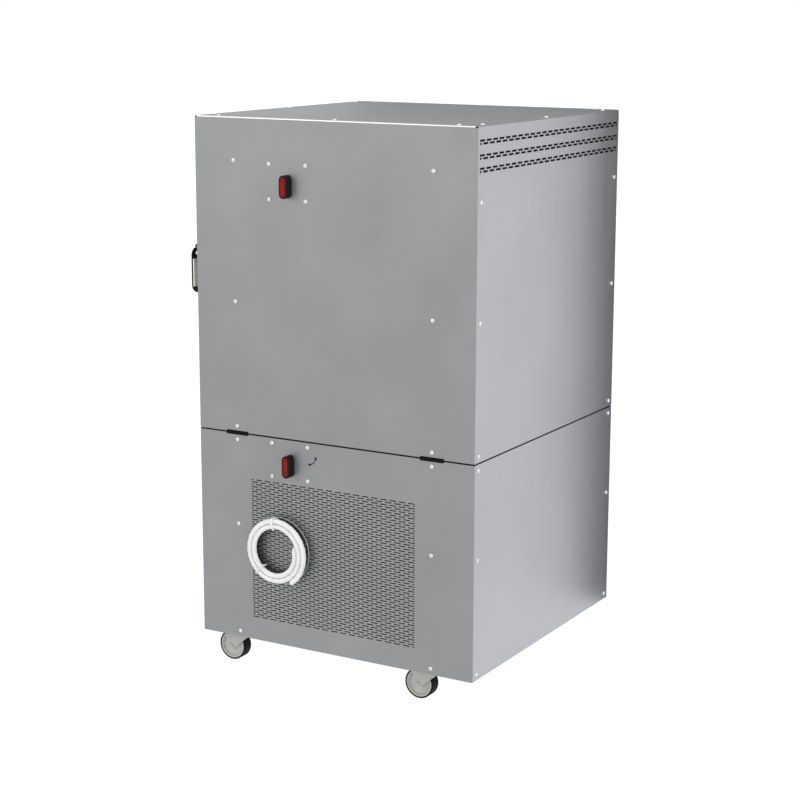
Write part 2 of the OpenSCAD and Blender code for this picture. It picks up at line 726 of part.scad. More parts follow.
module hood_frame() color("gray") difference() {
    union() {
        pan(hood_z);
        for (sx = [-1, 1]) {
            x = sx < 0 ? right_x - sheet_t : left_x + sheet_t;
            post(x, rear_y - sheet_t, sx, -1, hood_z, top_z - sheet_t);
            post(x, liner_y0, sx, 1, hood_z, top_z - sheet_t);
        }
        uprights(hood_z + frame_t, top_z - sheet_t - frame_t);
        difference() {
            ring(inset, inset + post_leg, top_z - sheet_t - frame_t, top_z - sheet_t);
            span([left_x, front_y, top_z - 20], [right_x, liner_y0, top_z]);
        }
        difference() {
            ring(inset, inner, top_z - sheet_t - top_leg_h, top_z - sheet_t);
            span([left_x, front_y, top_z - 40], [right_x, liner_y0, top_z]);
        }
        for (y = [liner_y0 + 60, liner_y1 - 90])
            span([left_x + inner, y, hood_z + frame_t], [right_x - inner, y + 30, liner_z0]);
    }
    span([left_x, front_y - 1, hood_z - 1], [right_x, liner_y0, hood_z + flange_h + 1]);
    side_holes(hood_side_zs);
    rear_holes(hood_rear_zs);
    for (p = top_spots) rod_z([p[0], p[1], top_z - screw_len - 1], screw_len + 2, hole_r);
    for (i = [-2 : 1]) span([mid_x + (i + 0.1) * 110, rear_y - 80, hood_z - 1],
                            [mid_x + (i + 0.1) * 110 + pan_hole_l, rear_y - 20, hood_z + frame_t + 1]);
    rod_z([valve_x - 60, knob_y, hood_z - 1], 10, 14);
}

// The surround of the door: rim, pocket and the landing plate with the chamber's mouth
module hood_front_frame() color("#9a9b9c") difference() {
    span([left_x + sheet_t, front_y, hood_z], [right_x - sheet_t, liner_y0, top_z - sheet_t]);
    span([left_x + rim_w, front_y - 1, hood_z + rim_w],
         [right_x - rim_w, liner_y0 - landing_t, top_z - rim_w]);
    span([left_x + sheet_t + 1.5, front_y + 1.5, hood_z + 1.5],
         [left_x + rim_w - 1.5, liner_y0 + 1, top_z - 3]);
    span([right_x - rim_w + 1.5, front_y + 1.5, hood_z + 1.5],
         [right_x - sheet_t - 1.5, liner_y0 + 1, top_z - 3]);
    for (z = [hood_z + 1.5, top_z - rim_w + 1.5])
        span([left_x + rim_w - 2, front_y + 1.5, z], [right_x - rim_w + 2, liner_y0 + 1, z + rim_w - 4.5]);
    span([liner_x0 + mouth_in, front_y - 1, liner_z0 + liner_t + mouth_in],
         [liner_x1 - mouth_in, liner_y0 + 1, liner_z1 - liner_t - mouth_in]);
    for (p = top_spots) rod_z([p[0], p[1], top_z - screw_len - 1], screw_len + 2, hole_r);
}

module hood_right_panel() color("#9a9b9c") difference() {
    span([right_x - sheet_t, front_y, hood_z], [right_x, rear_y, top_z]);
    side_holes(hood_side_zs);
    hinge_notches();
    rod_x([right_x - 5, knob_y, spray_z], 10, stem_r + 1);
    for (s = bracket_spots(spray_z)) rod_x([right_x - 5, s[0], s[1]], 10, hole_r);
}

module hood_left_panel() color("#9a9b9c") difference() {
    span([left_x, front_y, hood_z], [left_x + sheet_t, rear_y, top_z]);
    side_holes(hood_side_zs);
}

// Distances of the three pairs of vent rows below the top
vent_drops = [25, 50.5, 73.5];
vent_pitch = (body_d - 2 * vent_margin) / (vent_cols - 0.25);

module hood_rear_panel() color("#b4b6b9") difference() {
    span([left_x + sheet_t, rear_y - sheet_t, hood_z], [right_x - sheet_t, rear_y, top_z - sheet_t]);
    rear_holes(hood_rear_zs);
    for (drop = vent_drops, row = [0, 1], i = [0 : vent_cols - 1 + row]) {
        u0 = max(0, (i - row / 2) * vent_pitch);
        u1 = min(body_d - 2 * vent_margin, (i - row / 2 + 0.75) * vent_pitch);
        z = top_z - drop - row * vent_row_gap - vent_slot_h / 2;
        if (u1 - u0 > 2)
            span([right_x - vent_margin - u1, rear_y - sheet_t - 1, z],
                 [right_x - vent_margin - u0, rear_y + 1, z + vent_slot_h]);
    }
}

module hood_top_panel() color("#96989a") difference() {
    span([left_x + sheet_t, front_y, top_z - sheet_t], [right_x - sheet_t, rear_y, top_z]);
    for (p = top_spots) rod_z([p[0], p[1], top_z - 5], 10, hole_r);
}

module hood_screws() color("whitesmoke") {
    for (y = side_ys, z = hood_side_zs) {
        screw_right(y, z);
        screw_left(y, z);
    }
    for (x = rear_xs, z = hood_rear_zs) screw_rear(x, z);
    for (p = top_spots) translate([p[0], p[1], top_z]) screw();
    for (s = bracket_spots(spray_z)) screw_right(s[0], s[1]);
}

module chamber_liner() color("silver") difference() {
    span([liner_x0, liner_y0, liner_z0], [liner_x1, liner_y1, liner_z1]);
    span([liner_x0 + liner_t, liner_y0 - 1, liner_z0 + liner_t],
         [liner_x1 - liner_t, liner_y1 - liner_t, liner_z1 - liner_t]);
    span([filter_x0 + 20, filter_y0 + 20, liner_z1 - 5], [filter_x1 - 20, filter_y1 - 20, liner_z1 + 1]);
    for (i = [-2 : 1]) span([mid_x + (i + 0.1) * 110, liner_y1 - 5, liner_z0 + 30],
                            [mid_x + (i + 0.1) * 110 + pan_hole_l, liner_y1 + 1, liner_z0 + 60]);
    rod_z([mid_x, knob_y, liner_z1 - 5], 10, pipe_r + 1);
    rod_z([valve_x - 60, knob_y, liner_z0 - 1], 10, 8);
}

// The baffle stands on the chamber's floor in front of its rear wall and spreads the air
module chamber_baffle() color("silver") difference() {
    union() {
        span([liner_x0 + liner_t + 0.5, baffle_y, liner_z0 + liner_t],
             [liner_x1 - liner_t - 0.5, baffle_y + 1.5, liner_z1 - liner_t - 60]);
        for (x = [liner_x0 + liner_t + 0.5, liner_x1 - liner_t - 2])
            span([x, baffle_y, liner_z0 + liner_t], [x + 1.5, liner_y1 - liner_t, liner_z1 - liner_t - 60]);
    }
    for (i = [-2 : 1], z = [25, 140, 255])
        span([mid_x + (i + 0.1) * 110, baffle_y - 1, liner_z0 + z],
             [mid_x + (i + 0.1) * 110 + pan_hole_l, baffle_y + 3, liner_z0 + z + 12]);
}

// A shallow dished tray on four feet over the chamber's floor
tray_h = 10;
module work_tray() color("silver") {
    difference() {
        span([liner_x0 + liner_t + 4, liner_y0 + 6, liner_z0 + liner_t + 4],
             [liner_x1 - liner_t - 4, baffle_y - 6, liner_z0 + liner_t + 4 + tray_h]);
        span([liner_x0 + liner_t + 5.5, liner_y0 + 7.5, liner_z0 + liner_t + 5.5],
             [liner_x1 - liner_t - 5.5, baffle_y - 7.5, liner_z0 + liner_t + 5 + tray_h]);
    }
    for (x = [liner_x0 + 30, liner_x1 - 30], y = [liner_y0 + 30, baffle_y - 30])
        rod_z([x, y, liner_z0 + liner_t], 4.5, 6);
}

module carbon_filter() color("#2b2b2b") difference() {
    span([filter_x0, filter_y0, liner_z1], [filter_x1, filter_y1, filter_top]);
    for (i = [0 : 8]) span([filter_x0 + 12 + i * 31, filter_y0 + 15, filter_top - 6],
                           [filter_x0 + 36 + i * 31, filter_y1 - 15, filter_top + 1]);
}

// A round chamber over the filter with an outlet to the rear, and the motor's seat in its roof
module exhaust_fan_housing() color("gray") difference() {
    union() {
        rod_z([mid_x, fan_y, filter_top], housing_top - filter_top, housing_r);
        span([mid_x - 60, fan_y, filter_top], [mid_x + 60, fan_y + housing_r + 40, housing_top]);
        span([mid_x - housing_r, fan_y - housing_r, filter_top],
             [mid_x + housing_r, fan_y + housing_r, filter_top + 2]);
    }
    rod_z([mid_x, fan_y, filter_top + 2], housing_top - filter_top - 4, housing_r - 2);
    span([mid_x - 58, fan_y, filter_top + 2], [mid_x + 58, fan_y + housing_r + 41, housing_top - 2]);
    rod_z([mid_x, fan_y, filter_top - 1], 5, 50);
    rod_z([mid_x, fan_y, housing_top - 5], 10, 20);
}

// The motor hangs from the housing's roof, inside the impeller's ring of blades
motor_z0 = fan_z0 + 8;
module fan_motor() color("#303236") {
    rod_z([mid_x, fan_y, motor_z0 + 6], housing_top - 2 - motor_z0 - 6, motor_r);
    rod_z([mid_x, fan_y, housing_top - 3], 6, 19.9);
    rod_z([mid_x, fan_y, fan_z0 + 1], 20, shaft_r);
}

module exhaust_impeller() color("#404246") translate([mid_x, fan_y, fan_z0]) {
    difference() {
        union() {
            cylinder(h = 2, r = fan_r);
            cylinder(h = 7, r = 14);
        }
        translate([0, 0, -1]) cylinder(h = 12, r = shaft_r + run_fit);
    }
    for (k = [0 : 11]) rotate([0, 0, k * 30]) translate([fan_r - 22, 0, 1]) rotate([0, 0, 35])
        translate([0, -1, 0]) cube([22, 2, fan_h - 1]);
    translate([0, 0, fan_h - 2]) difference() {
        cylinder(h = 2, r = fan_r);
        translate([0, 0, -1]) cylinder(h = 4, r = fan_r - 24);
    }
}

// From the spray valve down, across over the chamber's roof and through it to the nozzle
module spray_pipe() color("silver") {
    run_z = liner_z1 + 14;
    rod_z([valve_x, knob_y, run_z], spray_z - valve_half - run_z, pipe_r);
    elbow([valve_x, knob_y, run_z], elbow_r);
    rod_x([mid_x, knob_y, run_z], valve_x - mid_x, pipe_r);
    elbow([mid_x, knob_y, run_z], elbow_r);
    rod_z([mid_x, knob_y, liner_z1 - 14], run_z - liner_z1 + 14, pipe_r);
    translate([mid_x, knob_y, liner_z1 - 20]) cylinder(h = 8, r1 = 11, r2 = pipe_r);
    rod_z([mid_x, knob_y, liner_z1], 3, 12);
}

// ---- Door

module door_hinge_brackets() color("#1c1c1c") for (z = door_hinge_zs) {
    z0 = z - door_hinge_len / 2;
    z1 = z + door_hinge_len / 2;
    span([left_x + 0.5, front_y - 2, z0], [door_pin_x - door_barrel_r - 0.5, front_y, z1]);
    for (s = [[z0, z0 + door_hinge_end], [z1 - door_hinge_end, z1]]) {
        rod_z([door_pin_x, door_pin_y, s[0]], s[1] - s[0], door_barrel_r);
        span([left_x + 0.5, front_y - 2, s[0]], [door_pin_x, front_y, s[1]]);
    }
    rod_z([door_pin_x, door_pin_y, z0], door_hinge_len, door_pin_r);
}

module door_hinge_leaves() color("#1c1c1c") for (z = door_hinge_zs) difference() {
    union() {
        span([door_pin_x + door_barrel_r + 5, front_y - 2, z - door_hinge_len / 2],
             [door_pin_x + 46, front_y, z + door_hinge_len / 2]);
        rod_z([door_pin_x, door_pin_y, z - door_hinge_len / 2 + door_hinge_end + 0.4],
              door_hinge_len - 2 * door_hinge_end - 0.8, door_barrel_r);
        span([door_pin_x, front_y - 3, z - door_hinge_len / 2 + door_hinge_end + 0.4],
             [door_pin_x + door_barrel_r + 6, front_y - 1, z + door_hinge_len / 2 - door_hinge_end - 0.4]);
    }
    rod_z([door_pin_x, door_pin_y, z - door_hinge_len], 2 * door_hinge_len, door_pin_r + run_fit);
}

// A folded skin with returns round its edge and round the glass
module door_frame() color("#9a9b9c") difference() {
    span([door_x0, front_y, door_z0], [door_x1, front_y + door_t, door_z1]);
    difference() {
        span([door_x0 + 1.5, front_y + 1.5, door_z0 + 1.5],
             [door_x1 - 1.5, front_y + door_t + 1, door_z1 - 1.5]);
        span([window_x0 - glass_lap - 1.5, front_y, window_z0 - glass_lap - 1.5],
             [window_x1 + glass_lap + 1.5, front_y + door_t, window_z1 + glass_lap + 1.5]);
    }
    span([window_x0 - glass_lap, front_y + 1.5, window_z0 - glass_lap],
         [window_x1 + glass_lap, front_y + door_t + 1, window_z1 + glass_lap]);
    span([window_x0, front_y - 1, window_z0], [window_x1, front_y + door_t + 1, window_z1]);
}

module door_glass() color([0.75, 0.85, 0.85, 0.4])
    span([window_x0 - glass_lap + 0.3, front_y + 1.5, window_z0 - glass_lap + 0.3],
         [window_x1 + glass_lap - 0.3, front_y + 1.5 + glass_t, window_z1 + glass_lap - 0.3]);

module door_gasket() color("#202020") difference() {
    span([door_x0, front_y + door_t, door_z0], [door_x1, liner_y0 - landing_t - touch, door_z1]);
    span([door_x0 + 12, front_y, door_z0 + 12], [door_x1 - 12, liner_y0, door_z1 - 12]);
}

module handle_mount() color("#141414") {
    span([handle_x0 + ear_in, front_y - 4, lever_pin_z - 22], [handle_x1 - ear_in, front_y, handle_top]);
    span([handle_x0 + ear_in, front_y - 11, lever_pin_z + 10], [handle_x1 - ear_in, front_y, handle_top]);
    for (x = [handle_x0 + ear_in, handle_x1 - ear_in - ear_w]) {
        rod_x([x, lever_pin_y, lever_pin_z], ear_w, ear_r);
        span([x, lever_pin_y, lever_pin_z - ear_r], [x + ear_w, front_y, lever_pin_z + ear_r]);
    }
    rod_x([handle_x0 + ear_in, lever_pin_y, lever_pin_z], handle_w - 2 * ear_in, lever_pin_r);
}

module handle_lever() color("#141414") difference() {
    union() {
        hub_x0 = handle_x0 + ear_in + ear_w + touch;
        hub_x1 = handle_x1 - ear_in - ear_w - touch;
        rod_x([hub_x0, lever_pin_y, lever_pin_z], hub_x1 - hub_x0, ear_r);
        span([hub_x0, front_y - handle_reach + 1, lever_pin_z - ear_r],
             [hub_x1, lever_pin_y, lever_pin_z + ear_r]);
        span([handle_x0, front_y - handle_reach, handle_low + 8],
             [handle_x1, front_y - handle_reach + grip_t, lever_pin_z + 8]);
        span([handle_x0, front_y - handle_reach, handle_low],
             [handle_x1, front_y - handle_reach + 14, handle_low + 8]);
    }
    rod_x([handle_x0, lever_pin_y, lever_pin_z], handle_w, lever_pin_r + run_fit);
}

module handle_insert() color("#d8d8d4")
    span([handle_x0 + 3, front_y - handle_reach + grip_t, handle_low + 10],
         [handle_x1 - 3, front_y - handle_reach + grip_t + 1.5, lever_pin_z - 12]);

base_frame();
base_front_panel();
base_left_panel();
base_right_panel();
base_rear_panel();
base_screws();
seam_gasket();
tilt_hinge_lower_leaves();
tilt_hinge_pins();
drip_tray();
drain_valve_body();
drain_valve_bracket();
hose_outlet();
hose_rack();
hose_pad();
hose_ties();
drain_hose_coil();
power_inlet();
castor_plates();
power_switch();
hood_frame();
hood_front_frame();
hood_right_panel();
hood_left_panel();
hood_rear_panel();
hood_top_panel();
hood_screws();
tilt_hinge_upper_leaves();
chamber_liner();
chamber_baffle();
work_tray();
carbon_filter();
exhaust_fan_housing();
fan_motor();
exhaust_impeller();
spray_valve_body();
spray_valve_bracket();
spray_pipe();
door_hinge_brackets();
door_frame();
door_glass();
door_gasket();
door_hinge_leaves();
handle_mount();
handle_lever();
handle_insert();
spray_knob();
spray_knob_insert();
spray_valve_ball();
drain_knob();
drain_knob_insert();
drain_valve_ball();
castor_fork(0);  // castor_fork_fr
castor_fork(1);  // castor_fork_fl
castor_fork(2);  // castor_fork_rr
castor_fork(3);  // castor_fork_rl
castor_wheel(0);  // castor_wheel_fr
castor_wheel(1);  // castor_wheel_fl
castor_wheel(2);  // castor_wheel_rr
castor_wheel(3);  // castor_wheel_rl
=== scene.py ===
import math

import bpy
from mathutils import Matrix, Quaternion, Vector


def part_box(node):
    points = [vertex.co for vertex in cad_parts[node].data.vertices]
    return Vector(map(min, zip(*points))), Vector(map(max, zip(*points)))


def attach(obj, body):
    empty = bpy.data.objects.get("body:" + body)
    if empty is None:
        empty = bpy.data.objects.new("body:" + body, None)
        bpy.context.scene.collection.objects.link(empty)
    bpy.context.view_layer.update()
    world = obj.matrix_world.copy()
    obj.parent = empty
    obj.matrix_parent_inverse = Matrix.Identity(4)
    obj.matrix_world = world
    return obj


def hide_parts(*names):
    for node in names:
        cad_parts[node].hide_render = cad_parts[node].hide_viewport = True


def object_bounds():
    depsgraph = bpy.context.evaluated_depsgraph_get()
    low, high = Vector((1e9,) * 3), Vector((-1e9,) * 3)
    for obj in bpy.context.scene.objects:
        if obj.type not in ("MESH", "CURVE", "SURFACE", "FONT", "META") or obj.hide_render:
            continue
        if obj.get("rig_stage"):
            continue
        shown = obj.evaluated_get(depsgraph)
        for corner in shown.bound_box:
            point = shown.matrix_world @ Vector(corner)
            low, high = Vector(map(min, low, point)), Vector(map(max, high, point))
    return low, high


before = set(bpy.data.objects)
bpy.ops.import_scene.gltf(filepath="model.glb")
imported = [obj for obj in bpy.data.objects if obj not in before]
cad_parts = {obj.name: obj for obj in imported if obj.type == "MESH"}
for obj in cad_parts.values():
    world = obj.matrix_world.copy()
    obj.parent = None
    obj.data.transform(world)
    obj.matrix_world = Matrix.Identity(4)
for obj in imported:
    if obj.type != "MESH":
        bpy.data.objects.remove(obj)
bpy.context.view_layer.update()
scene = bpy.context.scene
scene.view_settings.view_transform = "Standard"
MM = 0.001

# ---- Places taken from the CAD, in metres

hood_side_low, hood_side_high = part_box("hood_right_panel")
base_side_low, base_side_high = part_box("base_right_panel")
RIGHT = hood_side_high.x
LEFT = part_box("hood_left_panel")[0].x
FRONT = hood_side_low.y
REAR = hood_side_high.y
TOP = hood_side_high.z
HOOD = hood_side_low.z
BASE_TOP = base_side_high.z
BASE = base_side_low.z
SHEET = hood_side_high.x - hood_side_low.x
KNOB_Y = (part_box("drain_knob")[0].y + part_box("drain_knob")[1].y) / 2
SPRAY_Z = (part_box("spray_knob")[0].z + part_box("spray_knob")[1].z) / 2
DRAIN_Z = (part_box("drain_knob")[0].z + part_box("drain_knob")[1].z) / 2
BRACKET_Y = (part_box("drain_valve_bracket")[0].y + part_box("drain_valve_bracket")[1].y) / 2


# ---- Making pieces by hand

def clear():
    """Leaves object mode with nothing selected."""
    if bpy.context.object and bpy.context.object.mode != "OBJECT":
        bpy.ops.object.mode_set(mode="OBJECT")
    for thing in bpy.context.selected_objects:
        thing.select_set(False)


def only(piece):
    """Selects one piece and makes it the active one."""
    clear()
    piece.select_set(True)
    bpy.context.view_layer.objects.active = piece
    return piece


def settle(piece, name=None):
    """Puts the piece's place into its mesh."""
    only(piece)
    bpy.ops.object.transform_apply(location=True, rotation=True, scale=True)
    if name:
        piece.name = name
        piece.data.name = name
    return piece


def block(name, low, high):
    """A box from its lowest to its highest corner."""
    clear()
    low, high = Vector(low), Vector(high)
    bpy.ops.mesh.primitive_cube_add(size=1, location=(low + high) / 2)
    bpy.context.object.scale = high - low
    return settle(bpy.context.object, name)


def rod(name, start, end, radius, sides=32):
    """A round bar between two points."""
    clear()
    start, end = Vector(start), Vector(end)
    turn = (end - start).to_track_quat("Z", "Y").to_euler()
    bpy.ops.mesh.primitive_cone_add(
        vertices=sides, radius1=radius, radius2=radius,
        depth=(end - start).length, location=(start + end) / 2, rotation=turn)
    return settle(bpy.context.object, name)


def modify(piece, kind, **settings):
    """Adds a modifier with these settings and applies it."""
    only(piece)
    modifier = piece.modifiers.new(kind.title(), kind)
    for key, value in settings.items():
        setattr(modifier, key, value)
    bpy.ops.object.modifier_apply(modifier=modifier.name)
    return piece


def round_edges(piece, width, segments=2):
    """Rounds every edge sharper than 30 degrees; the flat faces stay flat to the eye."""
    modify(piece, "BEVEL", width=width, segments=segments, limit_method="ANGLE",
           angle_limit=math.radians(30), use_clamp_overlap=True)
    smooth(piece, 50)
    return modify(piece, "WEIGHTED_NORMAL", weight=100, keep_sharp=True)


def smooth(piece, angle=35):
    only(piece)
    bpy.ops.object.shade_smooth_by_angle(angle=math.radians(angle))
    return piece


def select(piece, what, chosen):
    """Selects the faces, edges or vertices of a piece whose place passes a test, and stays in edit mode."""
    only(piece)
    mesh = piece.data
    for group in (mesh.vertices, mesh.edges, mesh.polygons):
        group.foreach_set("select", [False] * len(group))
    if what == "FACE":
        for face in mesh.polygons:
            face.select = chosen(face.center, face.normal)
    elif what == "EDGE":
        for edge in mesh.edges:
            a, b = (mesh.vertices[i].co for i in edge.vertices)
            edge.select = chosen(a, b)
    else:
        for vertex in mesh.vertices:
            vertex.select = chosen(vertex.co)
    bpy.ops.object.mode_set(mode="EDIT")
    bpy.context.tool_settings.mesh_select_mode = (what == "VERT", what == "EDGE", what == "FACE")
    return piece


def done_editing():
    bpy.ops.object.mode_set(mode="OBJECT")


def cut(piece, *cutters):
    """Cuts the cutters out of the piece and removes them."""
    for cutter in cutters:
        modify(piece, "BOOLEAN", operation="DIFFERENCE", solver="EXACT", object=cutter)
        bpy.data.objects.remove(cutter)
    return piece


def join(name, parts):
    """Makes several pieces one."""
    clear()
    for part in parts:
        part.select_set(True)
    bpy.context.view_layer.objects.active = parts[0]
    bpy.ops.object.join()
    parts[0].name = name
    parts[0].data.name = name
    return parts[0]


def copy_to(piece, place):
    """A copy of the piece with its own mesh, moved by a matrix."""
    twin = piece.copy()
    twin.data = piece.data.copy()
    scene.collection.objects.link(twin)
    twin.data.transform(place)
    return twin


def tube(name, points, radius, sides=4):
    """A smooth round curve through the points."""
    line = bpy.data.curves.new(name, "CURVE")
    line.dimensions = "3D"
    line.bevel_depth = radius
    line.bevel_resolution = sides
    line.use_fill_caps = True
    spline = line.splines.new("POLY")
    spline.points.add(len(points) - 1)
    for point, place in zip(spline.points, points):
        point.co = (*place, 1)
    spline.use_smooth = True
    piece = bpy.data.objects.new(name, line)
    scene.collection.objects.link(piece)
    return piece


def tube_mesh(name, points, radius):
    """The same as a mesh."""
    only(tube(name, points, radius))
    bpy.ops.object.convert(target="MESH")
    return smooth(bpy.context.object, 50)


def bent(points, radius, steps=6):
    """The points of a line whose inner corners are rounded by arcs of this radius."""
    made = [Vector(points[0])]
    for before, corner, after in zip(points, points[1:], points[2:]):
        before, corner, after = Vector(before), Vector(corner), Vector(after)
        a, b = (before - corner).normalized(), (after - corner).normalized()
        start, end = corner + a * radius, corner + b * radius
        for i in range(steps + 1):
            t = i / steps
            made.append(start.lerp(corner, t).lerp(corner.lerp(end, t), t))
    return made + [Vector(points[-1])]


def extrude(name, outline, start, end):
    """A piece with this outline of (y, z) points, from x = start to x = end."""
    clear()
    bpy.ops.mesh.primitive_circle_add(vertices=len(outline), radius=1, fill_type="NGON")
    piece = settle(bpy.context.object, name)
    for vertex, (y, z) in zip(piece.data.vertices, outline):
        vertex.co = (start, y, z)
    select(piece, "FACE", lambda centre, normal: True)
    bpy.ops.mesh.extrude_region_move(TRANSFORM_OT_translate={"value": (end - start, 0, 0)})
    bpy.ops.mesh.select_all(action="SELECT")
    bpy.ops.mesh.normals_make_consistent(inside=False)
    done_editing()
    return piece


def node_copy(node, name, width, segments=2, change=None):
    """A copy of a CAD node as a clean mesh with softened edges, after moving its vertices by change."""
    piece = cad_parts[node].copy()
    piece.data = piece.data.copy()
    scene.collection.objects.link(piece)
    piece.parent = None
    for key in list(piece.keys()):
        if key.startswith("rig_"):
            del piece[key]
    piece.name = name or node + "_finished"
    piece.data.name = piece.name
    only(piece)
    bpy.ops.object.mode_set(mode="EDIT")
    bpy.ops.mesh.select_all(action="SELECT")
    bpy.ops.mesh.remove_doubles(threshold=0.000002)
    bpy.ops.mesh.dissolve_limited(angle_limit=math.radians(0.5))
    done_editing()
    if change:
        for vertex in piece.data.vertices:
            change(vertex.co)
    return round_edges(piece, width, segments)


def fit_out(piece, body, material, *nodes, slot=None):
    """Gives a finished piece its material, its body and the CAD nodes it stands for."""
    if material:
        piece.data.materials.clear()
        piece.data.materials.append(material)
    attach(piece, body)
    if nodes:
        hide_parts(*nodes)
    return piece


def dress(material, *nodes):
    """Gives carried-over CAD nodes their material."""
    for name in nodes:
        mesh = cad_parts[name].data
        mesh.materials.clear()
        mesh.materials.append(material)


# ---- Materials

def linear(colour):
    """An sRGB hex colour as linear red, green and blue."""
    parts = [int(colour[i:i + 2], 16) / 255 for i in (1, 3, 5)]
    return [c / 12.92 if c <= 0.04045 else ((c + 0.055) / 1.055) ** 2.4 for c in parts] + [1.0]


def add(tree, kind, inputs=None, **settings):
    """Adds a node with its settings, and its inputs as values or as links from other nodes."""
    made = tree.nodes.new(kind)
    for key, value in settings.items():
        setattr(made, key, value)
    for key, value in (inputs or {}).items():
        if isinstance(value, bpy.types.NodeSocket):
            tree.links.new(value, made.inputs[key])
        else:
            made.inputs[key].default_value = value
    return made


def surface(name, colour, roughness, metallic=0.0, **sockets):
    """A material with its uniform values on the shader, and its node tree, shader and object coordinates."""
    material = bpy.data.materials.new(name)
    material.use_nodes = True
    tree = material.node_tree
    shader = tree.nodes["Principled BSDF"]
    shader.inputs["Base Color"].default_value = linear(colour)
    shader.inputs["Roughness"].default_value = roughness
    shader.inputs["Metallic"].default_value = metallic
    for key, value in sockets.items():
        shader.inputs[key.replace("_", " ")].default_value = value
    place = add(tree, "ShaderNodeTexCoord").outputs["Object"]
    return material, tree, shader, place


def stretched_noise(tree, place, sizes_mm, detail=3.0, distortion=0.0):
    """Noise whose features are this many millimetres long along X, Y and Z."""
    scaled = add(tree, "ShaderNodeMapping", {"Vector": place, "Scale": [1000 / s for s in sizes_mm]})
    return add(tree, "ShaderNodeTexNoise", {
        "Vector": scaled.outputs["Vector"], "Scale": 1.0, "Detail": detail,
        "Distortion": distortion}).outputs["Fac"]


def spread(tree, value, low, high):
    """Maps noise, which lies mostly between 0.3 and 0.7, onto a range."""
    return add(tree, "ShaderNodeMapRange", {
        "Value": value, "From Min": 0.3, "From Max": 0.7, "To Min": low, "To Max": high}).outputs["Result"]


def tint(tree, value, dark, light):
    """Mixes two colours by a value."""
    ramp = add(tree, "ShaderNodeValToRGB", {"Fac": value})
    ramp.color_ramp.elements[0].position = 0.3
    ramp.color_ramp.elements[1].position = 0.7
    ramp.color_ramp.elements[0].color = linear(dark)
    ramp.color_ramp.elements[1].color = linear(light)
    return ramp.outputs["Color"]


def bump(tree, shader, height, distance_mm, strength=1.0):
    """Raises the surface by a height pattern."""
    made = add(tree, "ShaderNodeBump", {
        "Height": height, "Distance": distance_mm * MM, "Strength": strength})
    tree.links.new(made.outputs["Normal"], shader.inputs["Normal"])


def brushed_stainless(name, dark, light, roughness, along, metallic=0.9):
    """Stainless sheet brushed along one axis: fine parallel lines, drawn 0.8 mm apart so that they show."""
    material, tree, shader, place = surface(name, light, roughness, metallic)
    lines = stretched_noise(tree, place, [260 if axis == along else 0.8 for axis in "XYZ"], 2.0)
    clouds = stretched_noise(tree, place, (180, 180, 240), 2.0)
    both = add(tree, "ShaderNodeMix", {"Factor": 0.35, "A": lines, "B": clouds}, data_type="FLOAT")
    mixed = both.outputs["Result"]
    tree.links.new(tint(tree, mixed, dark, light), shader.inputs["Base Color"])
    tree.links.new(spread(tree, lines, roughness - 0.05, roughness + 0.06), shader.inputs["Roughness"])
    bump(tree, shader, lines, 0.012, 0.5)
    return material


def satin_stainless(name, dark, light, roughness, metallic=0.75):
    """Bead-blasted stainless sheet: an even grey with a fine grit of about 0.6 mm and faint large clouds."""
    material, tree, shader, place = surface(name, light, roughness, metallic)
    grit = stretched_noise(tree, place, (0.6, 0.6, 0.6), 2.0)
    clouds = stretched_noise(tree, place, (150, 150, 150), 2.0)
    both = add(tree, "ShaderNodeMix", {"Factor": 0.5, "A": grit, "B": clouds}, data_type="FLOAT")
    tree.links.new(tint(tree, both.outputs["Result"], dark, light), shader.inputs["Base Color"])
    tree.links.new(spread(tree, grit, roughness - 0.04, roughness + 0.05), shader.inputs["Roughness"])
    bump(tree, shader, grit, 0.01, 0.4)
    return material


def moulded_plastic(name, dark, light, roughness, grain_mm=0.5, depth_mm=0.01, **sockets):
    """Injection-moulded plastic with the fine eroded grain of its mould."""
    material, tree, shader, place = surface(name, light, roughness, 0.0, **sockets)
    grain = stretched_noise(tree, place, (grain_mm,) * 3, 2.0)
    clouds = stretched_noise(tree, place, (25, 25, 25), 2.0)
    tree.links.new(tint(tree, clouds, dark, light), shader.inputs["Base Color"])
    tree.links.new(spread(tree, grain, roughness - 0.04, roughness + 0.06), shader.inputs["Roughness"])
    bump(tree, shader, grain, depth_mm, 0.6)
    return material


def galvanised_steel(name, dark, light):
    """Hot-dip zinc on steel: flat crystals about 9 mm across in slightly different greys."""
    material, tree, shader, place = surface(name, light, 0.42, 0.85)
    scaled = add(tree, "ShaderNodeMapping", {"Vector": place, "Scale": [1000 / 9] * 3})
    crystals = add(tree, "ShaderNodeTexVoronoi", {"Vector": scaled.outputs["Vector"], "Scale": 1.0})
    grey = add(tree, "ShaderNodeSeparateColor", {"Color": crystals.outputs["Color"]}).outputs["Red"]
    tree.links.new(tint(tree, grey, dark, light), shader.inputs["Base Color"])
    tree.links.new(spread(tree, grey, 0.36, 0.46), shader.inputs["Roughness"])
    return material


def polished_metal(name, dark, light, roughness, metallic=1.0, **sockets):
    """Turned and polished metal with the faint marks of handling."""
    material, tree, shader, place = surface(name, light, roughness, metallic, **sockets)
    marks = stretched_noise(tree, place, (2.5, 2.5, 2.5), 3.0)
    tree.links.new(tint(tree, marks, dark, light), shader.inputs["Base Color"])
    tree.links.new(spread(tree, marks, roughness * 0.8, roughness * 1.25), shader.inputs["Roughness"])
    return material


